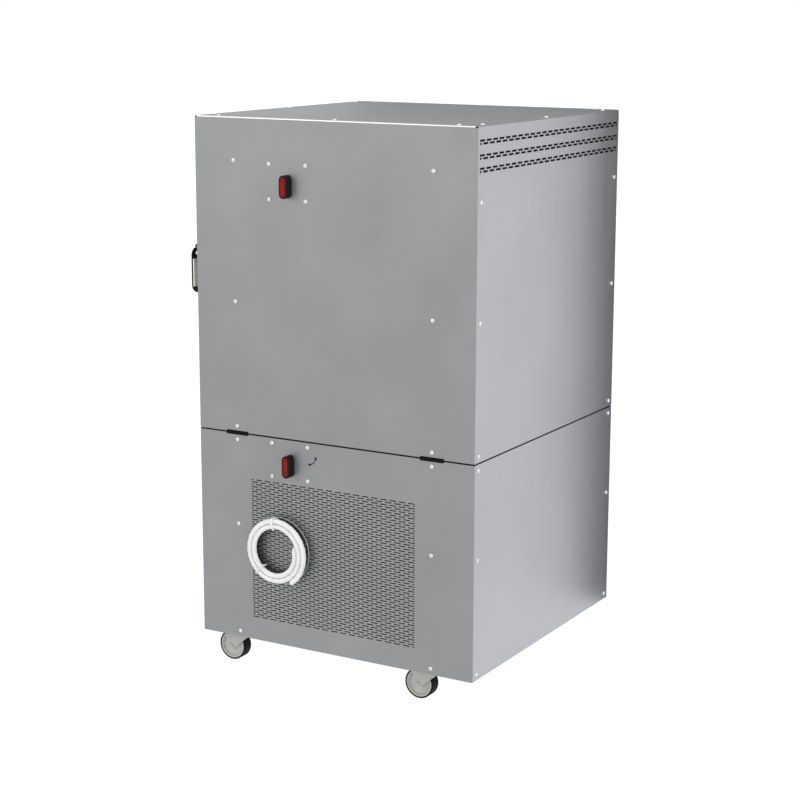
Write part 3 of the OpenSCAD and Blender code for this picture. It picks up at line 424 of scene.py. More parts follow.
side_steel = satin_stainless("bead_blasted_stainless", "#898a8b", "#959697", 0.5)
# The same bead-blasted steel as the sides, made a little darker: painted shade on the top panel.
top_steel_painted_shade = satin_stainless("bead_blasted_stainless_top_painted_shade", "#85878a", "#8f9194", 0.5)
# Near-white polished metal for the rounded top bends of the side panels: a painted highlight along that edge.
bend_highlight_paint = polished_metal("painted_bend_highlight", "#e4e5e6", "#f2f3f4", 0.3, 0.5)
rear_steel = brushed_stainless("brushed_stainless_rear", "#a8aaae", "#b5b7bb", 0.36, "Z")
chamber_steel = brushed_stainless("brushed_stainless_chamber", "#a9abad", "#bfc1c3", 0.32, "X")
zinc = galvanised_steel("galvanised_steel", "#8d9093", "#a4a7aa")
screw_steel = polished_metal("polished_stainless_screws", "#d0d0d0", "#e2e2e2", 0.3, 0.5)
pin_steel = polished_metal("ground_steel_pins", "#a5a6a8", "#bfc0c2", 0.25)
black_hinge = polished_metal("black_powder_coated_steel", "#040404", "#090909", 0.6, 0.0, Specular_IOR_Level=0.1)
black_abs = moulded_plastic("black_abs", "#050506", "#0b0b0c", 0.45, Specular_IOR_Level=0.18)
red_acrylic = moulded_plastic("red_acrylic", "#720509", "#850a0e", 0.35, 0.8, 0.004, Specular_IOR_Level=0.15)
dark_red_rim = moulded_plastic("dark_red_abs", "#2c0305", "#380507", 0.4, Specular_IOR_Level=0.12)
black_rubber = moulded_plastic("black_epdm_rubber", "#060606", "#0e0e0e", 0.8, 0.9, 0.02, Specular_IOR_Level=0.2)
black_foam = moulded_plastic("black_pe_foam", "#070707", "#0f0f0f", 0.9, 1.2, 0.06, Specular_IOR_Level=0.15)
# Near-black for the sheets behind the grille and the rear vents: painted shade for the dark inside of the cabinet.
shade_screen_black = moulded_plastic("black_painted_shade_screen", "#050505", "#0b0b0b", 0.9, 1.2, 0.05, Specular_IOR_Level=0.1)
white_pvc = moulded_plastic("white_pvc_hose", "#d6d6d8", "#e0e0e2", 0.42, 1.5, 0.006)
white_nylon = moulded_plastic("white_nylon", "#d8d8d6", "#e4e4e2", 0.45, 0.8, 0.006)
white_coated_wire = moulded_plastic("grey_coated_wire", "#a8a8a8", "#b6b6b6", 0.4, 1.0, 0.006)
grey_nylon = moulded_plastic("grey_nylon_wheel_disc", "#a6a6a2", "#b2b2ae", 0.45, 0.7, 0.01)
grey_fork = moulded_plastic("grey_painted_fork", "#a4a4a0", "#afafab", 0.4, 1.2, 0.012)
tyre_black = moulded_plastic("black_thermoplastic_tyre", "#060606", "#0e0e0e", 0.65, 0.8, 0.02, Specular_IOR_Level=0.12)
nickel_brass = polished_metal("nickel_plated_brass", "#b5ab94", "#cfc8b8", 0.22)
# The handle's cream plate, made near white: partly its own pale colour, partly painted light against the shade it sits
# in between the door and the lever.
cream_plate_painted_light = polished_metal("anodised_aluminium_plate_painted_light", "#ece9e0", "#f8f5ec", 0.4, 0.1)
motor_black = moulded_plastic("black_die_cast_motor", "#1b1c1f", "#2a2b2f", 0.5, 1.0, 0.03)
fan_plastic = moulded_plastic("glass_filled_nylon_fan", "#232427", "#313236", 0.5, 0.6, 0.02)


def tempered_glass():
    """Tempered float glass: clear, with a faint green body and a film of dust."""
    material, tree, shader, place = surface(
        "tempered_glass", "#eef6f3", 0.02, 0.0, Transmission_Weight=1.0, IOR=1.5)
    dust = stretched_noise(tree, place, (90, 90, 90), 4.0)
    tree.links.new(spread(tree, dust, 0.01, 0.05), shader.inputs["Roughness"])
    return material


def carbon_granules():
    """Activated carbon: black pellets about 4 mm across."""
    material, tree, shader, place = surface("activated_carbon", "#1d1d1d", 0.8)
    scaled = add(tree, "ShaderNodeMapping", {"Vector": place, "Scale": [1000 / 4] * 3})
    pellets = add(tree, "ShaderNodeTexVoronoi", {"Vector": scaled.outputs["Vector"], "Scale": 1.0})
    tree.links.new(tint(tree, pellets.outputs["Distance"], "#2c2c2c", "#0a0a0a"), shader.inputs["Base Color"])
    bump(tree, shader, pellets.outputs["Distance"], -1.2)
    return material


glass = tempered_glass()
carbon = carbon_granules()

# ---- Camera, light and floor

camera_data = bpy.data.cameras.new("camera")
camera_data.sensor_width = 36
camera_data.lens = 85.63
camera = bpy.data.objects.new("camera", camera_data)
scene.collection.objects.link(camera)
turn_z, tilt = math.radians(-149.80), math.radians(-11.95)
look = Vector((math.cos(tilt) * math.cos(turn_z), math.cos(tilt) * math.sin(turn_z), math.sin(tilt)))
camera.location = Vector((RIGHT, REAR, BASE)) + Vector((2.9109, 1.5405, 1.2245))
camera.rotation_mode = "QUATERNION"
camera.rotation_quaternion = look.to_track_quat("-Z", "Y") @ Quaternion((0, 0, 1), math.radians(0.14))
scene.camera = camera

world = bpy.data.worlds.new("studio")
scene.world = world
world.use_nodes = True
world.node_tree.nodes["Background"].inputs["Color"].default_value = (1.0, 1.0, 1.0, 1.0)
world.node_tree.nodes["Background"].inputs["Strength"].default_value = 1.0


def soft_light(name, place, aim, size, power):
    """A large soft panel light aimed at a point."""
    data = bpy.data.lights.new(name, "AREA")
    data.shape = "RECTANGLE"
    data.size = size
    data.size_y = size
    data.energy = power
    light = bpy.data.objects.new(name, data)
    scene.collection.objects.link(light)
    light.location = place
    light.rotation_mode = "QUATERNION"
    light.rotation_quaternion = (Vector(aim) - Vector(place)).to_track_quat("-Z", "Y")
    return light


soft_light("key_over_rear", (0.9, 2.6, 1.9), (0.1, 0.3, 0.6), 1.2, 28)
soft_light("top_fill", (0.4, 0.3, 3.2), (0.0, 0.0, 1.0), 1.6, 8)
soft_light("side_wash", (2.2, -1.5, 1.75), (0.29, 0.0, 1.1), 1.1, 9)

clear()
bpy.ops.mesh.primitive_plane_add(size=40, location=(0, 0, 0))
floor = bpy.context.object
floor.name = "studio_floor"
floor_paint, floor_tree, floor_shader, floor_place = surface(
    "white_light_table", "#505050", 0.9, Emission_Color=(1, 1, 1, 1), Emission_Strength=1.0)
floor_clouds = stretched_noise(floor_tree, floor_place, (900, 900, 900), 2.0)
floor_tree.links.new(tint(floor_tree, floor_clouds, "#4e4e4e", "#525252"), floor_shader.inputs["Base Color"])
floor.data.materials.append(floor_paint)
floor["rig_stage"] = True

# Studio cards that only the metal's reflections meet, as round a product table:
# a dark flag past the far side, and a grey one behind the top
def card(name, low, high, shade):
    clear()
    low, high = Vector(low), Vector(high)
    bpy.ops.mesh.primitive_cube_add(size=1, location=(low + high) / 2)
    made = bpy.context.object
    made.name = name
    made.scale = high - low
    made.visible_camera = False
    made.visible_shadow = False
    made.visible_diffuse = False
    cloth, tree, shader, place = surface(name + "_cloth", shade, 0.95)
    weave = stretched_noise(tree, place, (3, 3, 3), 2.0)
    tree.links.new(tint(tree, weave, shade, shade), shader.inputs["Base Color"])
    made.data.materials.append(cloth)
    made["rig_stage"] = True


card("rear_flag", (-0.50, 0.20, -0.02), (-0.48, 0.475, 1.8), "#0c0c0c")
card("top_flag", (-1.06, -0.75, 1.0), (-1.05, 0.5, 1.9), "#9c9c9c")

# ---- Drain hose: a flat spiral of a little over two turns, which starts at the outlet elbow

HOSE_R = 5 * MM
COIL_Y = FRONT + 183 * MM
COIL_Z = BASE + 189.5 * MM
HOSE_X = RIGHT + 17.9 * MM
OUTLET_ANGLE = 18
HOSE_START = 12
HOSE_END = -777


def coil_point(angle):
    """The middle of the hose at this angle, in degrees up from the rear; it grows a diameter a turn."""
    radius = (44 + 10 * max(0, -angle) / 360) * MM
    turn = math.radians(angle)
    return Vector((HOSE_X, COIL_Y + radius * math.cos(turn), COIL_Z + radius * math.sin(turn)))


steps = 56
hose_route = [coil_point(HOSE_START + (HOSE_END - HOSE_START) * i / steps) for i in range(steps + 1)]
hose = tube("drain_hose", hose_route, HOSE_R, sides=5)
fit_out(hose, "base", white_pvc, "drain_hose_coil", slot="white_hose")

# The outlet pipe behind the panel, and its elbow in front of it
outlet_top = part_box("hose_outlet")[1].z
outlet = coil_point(OUTLET_ANGLE)
valve_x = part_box("drain_valve_body")[0].x + 13 * MM
tangent = Vector((0, math.sin(math.radians(OUTLET_ANGLE)), -math.cos(math.radians(OUTLET_ANGLE))))
pipe_line = bent([(valve_x, KNOB_Y, outlet_top), (valve_x, KNOB_Y, outlet.z),
                  (valve_x, outlet.y, outlet.z), (RIGHT + 2 * MM, outlet.y, outlet.z)], 7 * MM)
outlet_pipe = tube_mesh("outlet_pipe", pipe_line, 6 * MM)
elbow_line = bent([(RIGHT - 1 * MM, outlet.y, outlet.z), outlet, outlet + tangent * 9 * MM], 7 * MM)
elbow = tube_mesh("outlet_elbow", elbow_line, 4.2 * MM)
collar = rod("outlet_collar", (RIGHT + 0.1 * MM, outlet.y, outlet.z), (RIGHT + 3 * MM, outlet.y, outlet.z), 7.5 * MM)
round_edges(collar, 0.6 * MM)
fit_out(join("hose_outlet_pipe", [outlet_pipe, elbow, collar]), "base", white_nylon, "hose_outlet", slot="white_hose")

# The foam pad behind the hose, notched for the elbow, with rounded rims
PAD_CAD = (47.4 * MM, 64 * MM)  # inner and outer radius in the CAD
PAD_TIED = (48.6 * MM, 61 * MM)  # the same where the ties press the foam together


def compress(place):
    """Draws the foam's rims together, round the coil's middle."""
    y, z = place.y - COIL_Y, place.z - COIL_Z
    radius = math.hypot(y, z)
    share = (radius - PAD_CAD[0]) / (PAD_CAD[1] - PAD_CAD[0])
    squeeze = (PAD_TIED[0] + share * (PAD_TIED[1] - PAD_TIED[0])) / radius
    place.y, place.z = COIL_Y + y * squeeze, COIL_Z + z * squeeze


pad = node_copy("hose_pad", "hose_backing_pad", 0.8 * MM, 2, change=compress)
fit_out(pad, "base", black_foam, "hose_pad", slot="black_rubber")

# The wire rack: two rings and four cross wires
rack_parts = []
RACK_RADII = (52, 65)
for radius in RACK_RADII:
    clear()
    bpy.ops.mesh.primitive_torus_add(
        major_radius=radius * MM, minor_radius=0.8 * MM, major_segments=72, minor_segments=10,
        location=(RIGHT + 1.25 * MM, COIL_Y, COIL_Z), rotation=(0, math.pi / 2, 0))
    rack_parts.append(settle(bpy.context.object))
for angle in (20, 140, 185, 270):
    way = Vector((0, math.cos(math.radians(angle)), math.sin(math.radians(angle))))
    middle = Vector((RIGHT + 1.25 * MM, COIL_Y, COIL_Z))
    rack_parts.append(rod("wire", middle + way * RACK_RADII[0] * MM, middle + way * RACK_RADII[1] * MM, 0.8 * MM, 12))
rack = smooth(join("wire_rack", rack_parts), 60)
fit_out(rack, "base", white_coated_wire, "hose_rack", slot="white_hose")


# Each tie is a flat band round the hose and the pad, with its lock at the front
TIE_HALF = 1.4 * MM


def tie(angle, inner, outer):
    back, front = RIGHT + 2.7 * MM, HOSE_X + HOSE_R + 0.5 * MM
    band = block("tie_band", (back, inner, -TIE_HALF), (front, outer, TIE_HALF))
    select(band, "EDGE", lambda a, b: abs(a.z - b.z) > TIE_HALF)
    bpy.ops.mesh.bevel(offset=4.5 * MM, segments=5)
    done_editing()
    select(band, "FACE", lambda centre, normal: abs(normal.z) > 0.9)
    bpy.ops.mesh.delete(type="FACE")
    done_editing()
    modify(band, "SOLIDIFY", thickness=0.8 * MM, offset=0)
    round_edges(band, 0.15 * MM, 1)
    lock = block("tie_lock", (HOSE_X - 2 * MM, inner - 2.6 * MM, -TIE_HALF - 0.6 * MM),
                 (HOSE_X + 2.4 * MM, inner + 0.4 * MM, TIE_HALF + 0.6 * MM))
    round_edges(lock, 0.6 * MM)
    made = join("hose_tie", [band, lock])
    made.data.transform(Matrix.Translation((0, COIL_Y, COIL_Z)) @ Matrix.Rotation(math.radians(angle), 4, "X"))
    return made


ties = join("hose_tie_bands", [tie(95, 45.9 * MM, 67 * MM), tie(227, 42.2 * MM, 63.3 * MM)])
fit_out(ties, "base", white_pvc, "hose_ties", slot="white_hose")

# ---- Service side of the base: a sheet with its fine staggered grille

GRILLE_Y = (118 * MM, 478 * MM)
GRILLE_Z = (46 * MM, 324 * MM)
SLOT_PITCH, SLOT_LONG = 19.76 * MM, 14.3 * MM
ROW_PITCH, SLOT_HIGH = 4.64 * MM, 2.0 * MM
HINGE_YS = (87 * MM, 513 * MM)
HINGE_HALF = 24.5 * MM  # half the length of a hinge's notch
NOTCH_DEEP = 3.2 * MM  # how far the notch reaches from the seam
SEAM = 0.5 * MM  # the sheets stop this much short of the seam and show the gasket's lips


def slotted_sheet(name, us, vs, is_open, place, thickness):
    """A sheet whose grid lines lie at us and vs, without the cells that is_open names."""
    clear()
    bpy.ops.mesh.primitive_grid_add(x_subdivisions=len(us) - 1, y_subdivisions=len(vs) - 1, size=1)
    sheet = settle(bpy.context.object, name)
    for vertex in sheet.data.vertices:
        column = round((vertex.co.x + 0.5) * (len(us) - 1))
        row = round((vertex.co.y + 0.5) * (len(vs) - 1))
        vertex.co = (us[column], vs[row], 0)
    select(sheet, "FACE", lambda centre, normal: is_open(centre.x, centre.y))
    bpy.ops.mesh.delete(type="FACE")
    done_editing()
    sheet.data.transform(place)
    return modify(sheet, "SOLIDIFY", thickness=thickness, offset=-1)


def lines(*groups):
    """Sorted grid lines without near doubles."""
    found = []
    for line in sorted(x for group in groups for x in group):
        if not found or line - found[-1] > 0.01 * MM:
            found.append(line)
    return found


def in_grille(y, z):
    if not (GRILLE_Y[0] < y < GRILLE_Y[1] and GRILLE_Z[0] < z < GRILLE_Z[1]):
        return False
    row = int((z - GRILLE_Z[0]) / ROW_PITCH)
    if (z - GRILLE_Z[0]) - row * ROW_PITCH > SLOT_HIGH:
        return False
    return (y - GRILLE_Y[0] + (row % 2) * SLOT_PITCH / 2) % SLOT_PITCH < SLOT_LONG


def in_base_notch(y, z):
    return z > BASE_TOP - BASE - NOTCH_DEEP and any(abs(y - hinge) < HINGE_HALF for hinge in HINGE_YS)


depth = REAR - FRONT
grille_us = []
for i in range(19):
    for start in (0, SLOT_LONG, SLOT_PITCH / 2, SLOT_LONG - SLOT_PITCH / 2):
        if GRILLE_Y[0] + i * SLOT_PITCH + start < GRILLE_Y[1]:
            grille_us.append(GRILLE_Y[0] + i * SLOT_PITCH + start)
grille_vs = []
for i in range(60):
    grille_vs += [GRILLE_Z[0] + i * ROW_PITCH, GRILLE_Z[0] + i * ROW_PITCH + SLOT_HIGH]
hinge_us = [hinge + side * HINGE_HALF for hinge in HINGE_YS for side in (-1, 1)]
sheet_us = lines([0, depth], grille_us, [GRILLE_Y[1]], hinge_us)
sheet_vs = lines([0, BASE_TOP - BASE - SEAM, BASE_TOP - BASE - NOTCH_DEEP], grille_vs, [GRILLE_Z[1]])
onto_side = Matrix(((0, 0, 1, RIGHT), (1, 0, 0, FRONT), (0, 1, 0, BASE), (0, 0, 0, 1)))
base_side = slotted_sheet("base_service_panel", sheet_us, sheet_vs,
                          lambda y, z: in_grille(y, z) or in_base_notch(y, z), onto_side, SHEET - 0.5 * MM)
fit_out(smooth(base_side, 20), "base", side_steel, "base_right_panel", slot="painted_side")


def painted_shade_screen(name, low, high, body):
    """A thin black sheet behind the slots in front of it, which paints the shade inside them so that the slots read
    dark.
    """
    mesh = block(name, low, high)
    select(mesh, "FACE", lambda centre, normal: True)
    bpy.ops.mesh.subdivide(number_cuts=3)
    done_editing()
    return fit_out(round_edges(mesh, 0.1 * MM, 1), body, shade_screen_black, slot="black_rubber")


# Painted shade behind the base grille's slots and behind the rear vents' slots
painted_shade_screen("grille_painted_shade_screen", (RIGHT - SHEET, FRONT + GRILLE_Y[0] - 4 * MM, BASE + GRILLE_Z[0] - 4 * MM),
          (RIGHT - SHEET + 0.45 * MM, FRONT + GRILLE_Y[1] + 4 * MM, BASE + GRILLE_Z[1] + 4 * MM), "base")
painted_shade_screen("vent_painted_shade_screen", (LEFT + 4 * MM, REAR - SHEET + 0.05 * MM, TOP - 84 * MM),
          (RIGHT - 4 * MM, REAR - SHEET + 0.5 * MM, TOP - 20 * MM), "hood")

# ---- Service side of the hood: its top edge is a bend, relieved at both corners

NOTCH = 4.5 * MM


def hood_side(name, face_x, inner_x):
    """A side panel with a rounded top edge and bend reliefs, its outer face at face_x."""
    low, high = sorted((face_x, inner_x))
    panel = block(name, (low, FRONT, HOOD + SEAM), (high, REAR, TOP))
    select(panel, "EDGE", lambda a, b: abs(a.z - TOP) < 1e-5 and abs(b.z - TOP) < 1e-5
           and abs(a.x - face_x) < 1e-5 and abs(b.x - face_x) < 1e-5)
    bpy.ops.mesh.bevel(offset=1.3 * MM, segments=5)
    done_editing()
    reliefs = []
    for y in (FRONT, REAR):
        side = 1 if y == FRONT else -1
        reliefs.append(block("relief", (low - MM, min(y - side * MM, y + side * NOTCH), TOP - 3.2 * MM),
                             (high + MM, max(y - side * MM, y + side * NOTCH), TOP + MM)))
    cut(panel, *reliefs)
    # The bend is twice as high as it is deep, as on a folded sheet
    for vertex in panel.data.vertices:
        if vertex.co.z > TOP - 1.4 * MM and abs(vertex.co.x - inner_x) > 0.1 * MM:
            vertex.co.z = TOP - 2 * (TOP - vertex.co.z)
    return panel


def paint_bend_highlight(panel):
    """Paints a highlight along the top edge: the rounded bend's faces get a near-white polished material."""
    panel.data.materials.append(bend_highlight_paint)
    for face in panel.data.polygons:
        if face.normal.z > 0.1 and abs(face.normal.x) > 0.1:
            face.material_index = 1


service_side = hood_side("hood_service_panel", RIGHT, RIGHT - SHEET)
for hinge in HINGE_YS:
    cut(service_side, block("notch", (RIGHT - 3 * MM, FRONT + hinge - HINGE_HALF, HOOD - MM),
                            (RIGHT + MM, FRONT + hinge + HINGE_HALF, HOOD + NOTCH_DEEP)))
fit_out(smooth(service_side, 40), "hood", side_steel, "hood_right_panel", slot="painted_side")
paint_bend_highlight(service_side)
far_side = hood_side("hood_far_panel", LEFT, LEFT + SHEET)
fit_out(smooth(far_side, 40), "hood", side_steel, "hood_left_panel", slot="painted_side")
paint_bend_highlight(far_side)
# Black fills in the bend reliefs at the top corners: painted shade for the dark gap where three sheets meet.
shade_fills = []
for low, high in ((RIGHT - SHEET + 0.05 * MM, RIGHT - 0.5 * MM), (LEFT + 0.5 * MM, LEFT + SHEET - 0.05 * MM)):
    for start, end in ((FRONT + 0.5 * MM, FRONT + NOTCH), (REAR - NOTCH, REAR - 0.5 * MM)):
        shade_fills.append(block("corner_shade_fill", (low, start, TOP - 3.2 * MM), (high, end, TOP - 0.3 * MM)))
corner_shade_fills = round_edges(join("corner_shade_fills", shade_fills), 0.2 * MM, 1)
fit_out(corner_shade_fills, "hood", black_rubber, slot="black_rubber")

# The seam's gasket shows as a black lip between the sheets, open where the hinges pass
def seam_lip(name, low_z, high_z, body):
    out, deep = 0.25 * MM, 1.4 * MM
    bars = [((LEFT + out, FRONT + out), (RIGHT - out, FRONT + deep)),
            ((LEFT + out, REAR - deep), (RIGHT - out, REAR - out)),
            ((LEFT + out, FRONT + deep), (LEFT + deep, REAR - deep))]
    edges = [deep] + [hinge + side * (HINGE_HALF + MM) for hinge in HINGE_YS for side in (-1, 1)]
    edges.append(REAR - FRONT - deep)
    bars += [((RIGHT - deep, FRONT + a), (RIGHT - out, FRONT + b)) for a, b in zip(edges[::2], edges[1::2])]
    made = join(name, [block("lip", (*a, low_z), (*b, high_z)) for a, b in bars])
    fit_out(round_edges(made, 0.2 * MM, 1), body, black_rubber, slot="black_rubber")


seam_lip("base_seam_lip", BASE_TOP - SEAM, BASE_TOP + 0.8 * MM, "base")
seam_lip("hood_seam_lip", HOOD + 0.05 * MM, HOOD + SEAM, "hood")

# ---- Other panels: their CAD shapes with softened edges

VENT_DROPS = [(pair + row * 5.4) * MM for pair in (25, 50.5, 73.5) for row in (0, 1)]
VENT_HALF = 1.2 * MM
VENT_GROWS = 0.7 * MM


def open_seam(place):
    """Draws a sheet's edge back from the seam, and makes the rear vents' slots higher."""
    if abs(place.z - BASE_TOP) < 0.3 * MM:
        place.z = BASE_TOP - SEAM
    elif abs(place.z - HOOD) < 0.3 * MM:
        place.z = HOOD + SEAM
    elif TOP - 84 * MM < place.z < TOP - 20 * MM and place.y > REAR - 2 * MM:
        for drop in VENT_DROPS:
            for way in (1, -1):
                if abs(place.z - (TOP - drop + way * VENT_HALF)) < 0.1 * MM:
                    place.z += way * VENT_GROWS
                    return


for node, body, material, slot in (
        ("base_rear_panel", "base", rear_steel, "brushed_rear"),
        ("hood_rear_panel", "hood", rear_steel, "brushed_rear"),
        ("base_front_panel", "base", side_steel, "painted_side"),
        ("base_left_panel", "base", side_steel, "painted_side"),
        ("hood_top_panel", "hood", top_steel_painted_shade, "painted_side"),
        ("hood_front_frame", "hood", side_steel, "painted_side"),
        ("door_frame", "door", side_steel, "painted_side")):
    fit_out(node_copy(node, None, 0.2 * MM, 2, change=open_seam), body, material, node, slot=slot)

dress(zinc, "base_frame", "hood_frame", "drain_valve_bracket", "spray_valve_bracket", "exhaust_fan_housing")
dress(chamber_steel, "chamber_liner", "chamber_baffle", "work_tray", "drip_tray", "spray_pipe")
dress(pin_steel, "tilt_hinge_pins", "castor_plates")
dress(black_hinge, "tilt_hinge_lower_leaves", "tilt_hinge_upper_leaves", "door_hinge_brackets", "door_hinge_leaves")
dress(nickel_brass, "drain_valve_body", "spray_valve_body", "drain_valve_ball", "spray_valve_ball")
dress(black_rubber, "seam_gasket", "door_gasket")
dress(carbon, "carbon_filter")
dress(motor_black, "fan_motor")
dress(fan_plastic, "exhaust_impeller")
dress(glass, "door_glass")
dress(black_abs, "power_inlet")
dress(red_acrylic, "power_switch")

# ---- Button-head screws

def screw_model():
    """A button head on the plane z = 0 with a round socket and a short shank."""
    head = rod("screw", (0, 0, 0), (0, 0, 2.2 * MM), 4 * MM, 20)
    select(head, "EDGE", lambda a, b: a.z > 2 * MM and b.z > 2 * MM)
    bpy.ops.mesh.bevel(offset=1.9 * MM, segments=4)
    done_editing()
    select(head, "FACE", lambda centre, normal: normal.z > 0.99 and centre.z > 2 * MM)
    bpy.ops.mesh.inset(thickness=0.75 * MM)
    bpy.ops.mesh.extrude_region_move(TRANSFORM_OT_translate={"value": (0, 0, -1.1 * MM)})
    done_editing()
    shank = rod("shank", (0, 0, -8 * MM), (0, 0, 0.01 * MM), 2 * MM, 10)
    return smooth(join("screw", [head, shank]), 40)


screw = screw_model()


def facing(place, direction):
    """The matrix that stands a screw at a place, facing a direction."""
    return Matrix.Translation(place) @ Vector(direction).to_track_quat("Z", "Y").to_matrix().to_4x4()


side_ys = (FRONT + 87 * MM, REAR - 87 * MM)
edge_xs = (LEFT + 15 * MM, RIGHT - 15 * MM)
base_zs = (BASE + 12 * MM, BASE + 229 * MM, BASE_TOP - 12 * MM)
hood_zs = (HOOD + 12 * MM, HOOD + 253 * MM, TOP - 80 * MM)
rear_zs = (HOOD + 12 * MM, HOOD + 253 * MM, TOP - 132 * MM)


def bracket_places(z):
    return [((RIGHT, BRACKET_Y + dy * MM, z + 7 * MM + dz * MM), (1, 0, 0))
            for dy in (-40, 40) for dz in (-32.5, 32.5)]


base_places = bracket_places(DRAIN_Z)
base_places += [((RIGHT, y, z), (1, 0, 0)) for y in side_ys for z in base_zs]
base_places += [((LEFT, y, z), (-1, 0, 0)) for y in side_ys for z in base_zs]
base_places += [((x, REAR, z), (0, 1, 0)) for x in edge_xs for z in base_zs]
base_places += [((x, FRONT, z), (0, -1, 0)) for x in edge_xs for z in base_zs]
hood_places = bracket_places(SPRAY_Z)
hood_places += [((RIGHT, y, z), (1, 0, 0)) for y in side_ys for z in hood_zs]
hood_places += [((LEFT, y, z), (-1, 0, 0)) for y in side_ys for z in hood_zs]
hood_places += [((x, REAR, z), (0, 1, 0)) for x in edge_xs for z in rear_zs]
hood_places += [((x, y, TOP), (0, 0, 1)) for x in edge_xs
                for y in (FRONT + 45 * MM, (FRONT + REAR) / 2, REAR - 45 * MM)]
hood_places += [((x, y, TOP), (0, 0, 1)) for y in (FRONT + 15 * MM, REAR - 15 * MM)
                for x in (LEFT + 45 * MM, (LEFT + RIGHT) / 2, RIGHT - 45 * MM)]

base_set = [copy_to(screw, facing(place, way)) for place, way in base_places]
hood_set = [copy_to(screw, facing(place, way)) for place, way in hood_places]
for fork in ("fr", "fl", "rr", "rl"):
    low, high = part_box("castor_fork_" + fork)
    middle = Vector(((low.x + high.x) / 2, high.y - 16 * MM, 0))
    for dx in (-23, 23):
        for dy in (-23, 23):
            at = middle + Vector((dx * MM, dy * MM, 0))
            bolt = rod("castor_bolt", (at.x, at.y, BASE + 2 * MM), (at.x, at.y, BASE + 5.5 * MM), 5 * MM, 6)
            nut = rod("castor_shank", (at.x, at.y, BASE - 2.3 * MM), (at.x, at.y, BASE + 2.2 * MM), 3 * MM, 16)
            base_set.append(round_edges(join("bolt", [bolt, nut]), 0.25 * MM, 1))
fit_out(join("base_screw_set", base_set), "base", screw_steel, "base_screws", slot="screw_steel")
fit_out(join("hood_screw_set", hood_set), "hood", screw_steel, "hood_screws", slot="screw_steel")
bpy.data.objects.remove(screw)

# ---- Knobs: a black obround with a dark red rim and a red face

def obround(name, z, long, wide, near, far):
    """An upright obround on the service side, reaching from near to far."""
    made = block(name, (RIGHT + near, KNOB_Y - wide / 2, z - long / 2), (RIGHT + far, KNOB_Y + wide / 2, z + long / 2))
    select(made, "EDGE", lambda a, b: abs(a.x - b.x) > (far - near) / 2)
    bpy.ops.mesh.bevel(offset=wide / 2 * 0.998, segments=12)
    done_editing()
    return made


def knob(name, z, body):
    long, wide = 43 * MM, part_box(name)[1].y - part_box(name)[0].y
    wide = min(wide, 17 * MM)
    shell = round_edges(obround(name, z, long, wide, 0.6 * MM, 16.4 * MM), 0.5 * MM, 2)
    collar = rod("collar", (RIGHT + 0.6 * MM, KNOB_Y, z), (RIGHT + 3.0 * MM, KNOB_Y, z), wide / 2, 40)
    round_edges(collar, 0.5 * MM, 2)
    rim = round_edges(obround("rim", z, long - 0.6 * MM, wide - 0.6 * MM, 16.2 * MM, 18.6 * MM), 1.0 * MM, 3)
    face = round_edges(obround("face", z, long - 7.5 * MM, wide - 7.5 * MM, 18.3 * MM, 19.0 * MM), 0.3 * MM, 2)
    shell = fit_out(join(name + "_body", [shell, collar]), body, black_abs, name, slot="black_plastic")
    rim = fit_out(rim, body, dark_red_rim, slot="red_plastic")
    rim.name = name + "_rim"
    face = fit_out(face, body, red_acrylic, name + "_insert", slot="red_plastic")
    face.name = name + "_face"


knob("spray_knob", SPRAY_Z, "spray_control")
knob("drain_knob", DRAIN_Z, "drain_control")


# The quarter-turn arrow printed beside the drain knob: an arc with a head at both ends
def turn_arrow():
    middle = Vector((0, FRONT + 248.2 * MM, BASE + 382.1 * MM))
    radius = 16 * MM
    parts = []
    clear()
    bpy.ops.mesh.primitive_plane_add(size=1, location=(0, 0, 0))
    strip = settle(bpy.context.object, "arc")
    strip.data.transform(Matrix.Diagonal((1.3 * MM, 0.01 * MM, 1, 1)))
    segments = 14
    for i in range(segments):
        first, second = math.radians(-80 + 70 * i / segments), math.radians(-80 + 70 * (i + 1.05) / segments)
        bit = copy_to(strip, Matrix.Identity(4))
        for vertex, (r, turn) in zip(bit.data.vertices, (
                (radius - 0.9 * MM, first), (radius + 0.9 * MM, first),
                (radius - 0.9 * MM, second), (radius + 0.9 * MM, second))):
            vertex.co = (0, r * math.cos(turn), r * math.sin(turn))
        parts.append(bit)
    bpy.data.objects.remove(strip)
    for turn, way in ((-8, 90), (-82, 180)):
        clear()
        bpy.ops.mesh.primitive_circle_add(vertices=3, radius=3.9 * MM, fill_type="NGON")
        head = settle(bpy.context.object, "arrow_head")
        spin = math.radians(turn)
        head.data.transform(
            Matrix.Translation((0, radius * math.cos(spin), radius * math.sin(spin)))
            @ Matrix(((0, 0, 1, 0), (1, 0, 0, 0), (0, 1, 0, 0), (0, 0, 0, 1)))
            @ Matrix.Rotation(math.radians(way - 90), 4, "Z"))
        parts.append(head)
    arrow = join("turn_arrow", parts)
    arrow.data.transform(Matrix.Translation(middle + Vector((RIGHT + 0.05 * MM, 0, 0))))
    modify(arrow, "SOLIDIFY", thickness=0.12 * MM, offset=0)
    return arrow


fit_out(turn_arrow(), "base", black_abs, slot="black_plastic")

# ---- Castors

def lathe(name, profile, middle, steps=48):
    """Turns a closed profile of (radius, width) points round the X axis through middle."""
    clear()
    bpy.ops.mesh.primitive_circle_add(vertices=len(profile), radius=1, fill_type="NOTHING")
    ring = settle(bpy.context.object, name)
    for vertex, (radius, width) in zip(ring.data.vertices, profile):
        vertex.co = (width * MM, radius * MM, 0)
    select(ring, "VERT", lambda place: True)
    bpy.ops.mesh.spin(steps=steps, angle=2 * math.pi, center=(0, 0, 0), axis=(1, 0, 0))
    bpy.ops.mesh.select_all(action="SELECT")
    bpy.ops.mesh.remove_doubles(threshold=0.00001)
    bpy.ops.mesh.normals_make_consistent(inside=False)
    done_editing()
    ring.data.transform(Matrix.Translation(middle))
    return ring


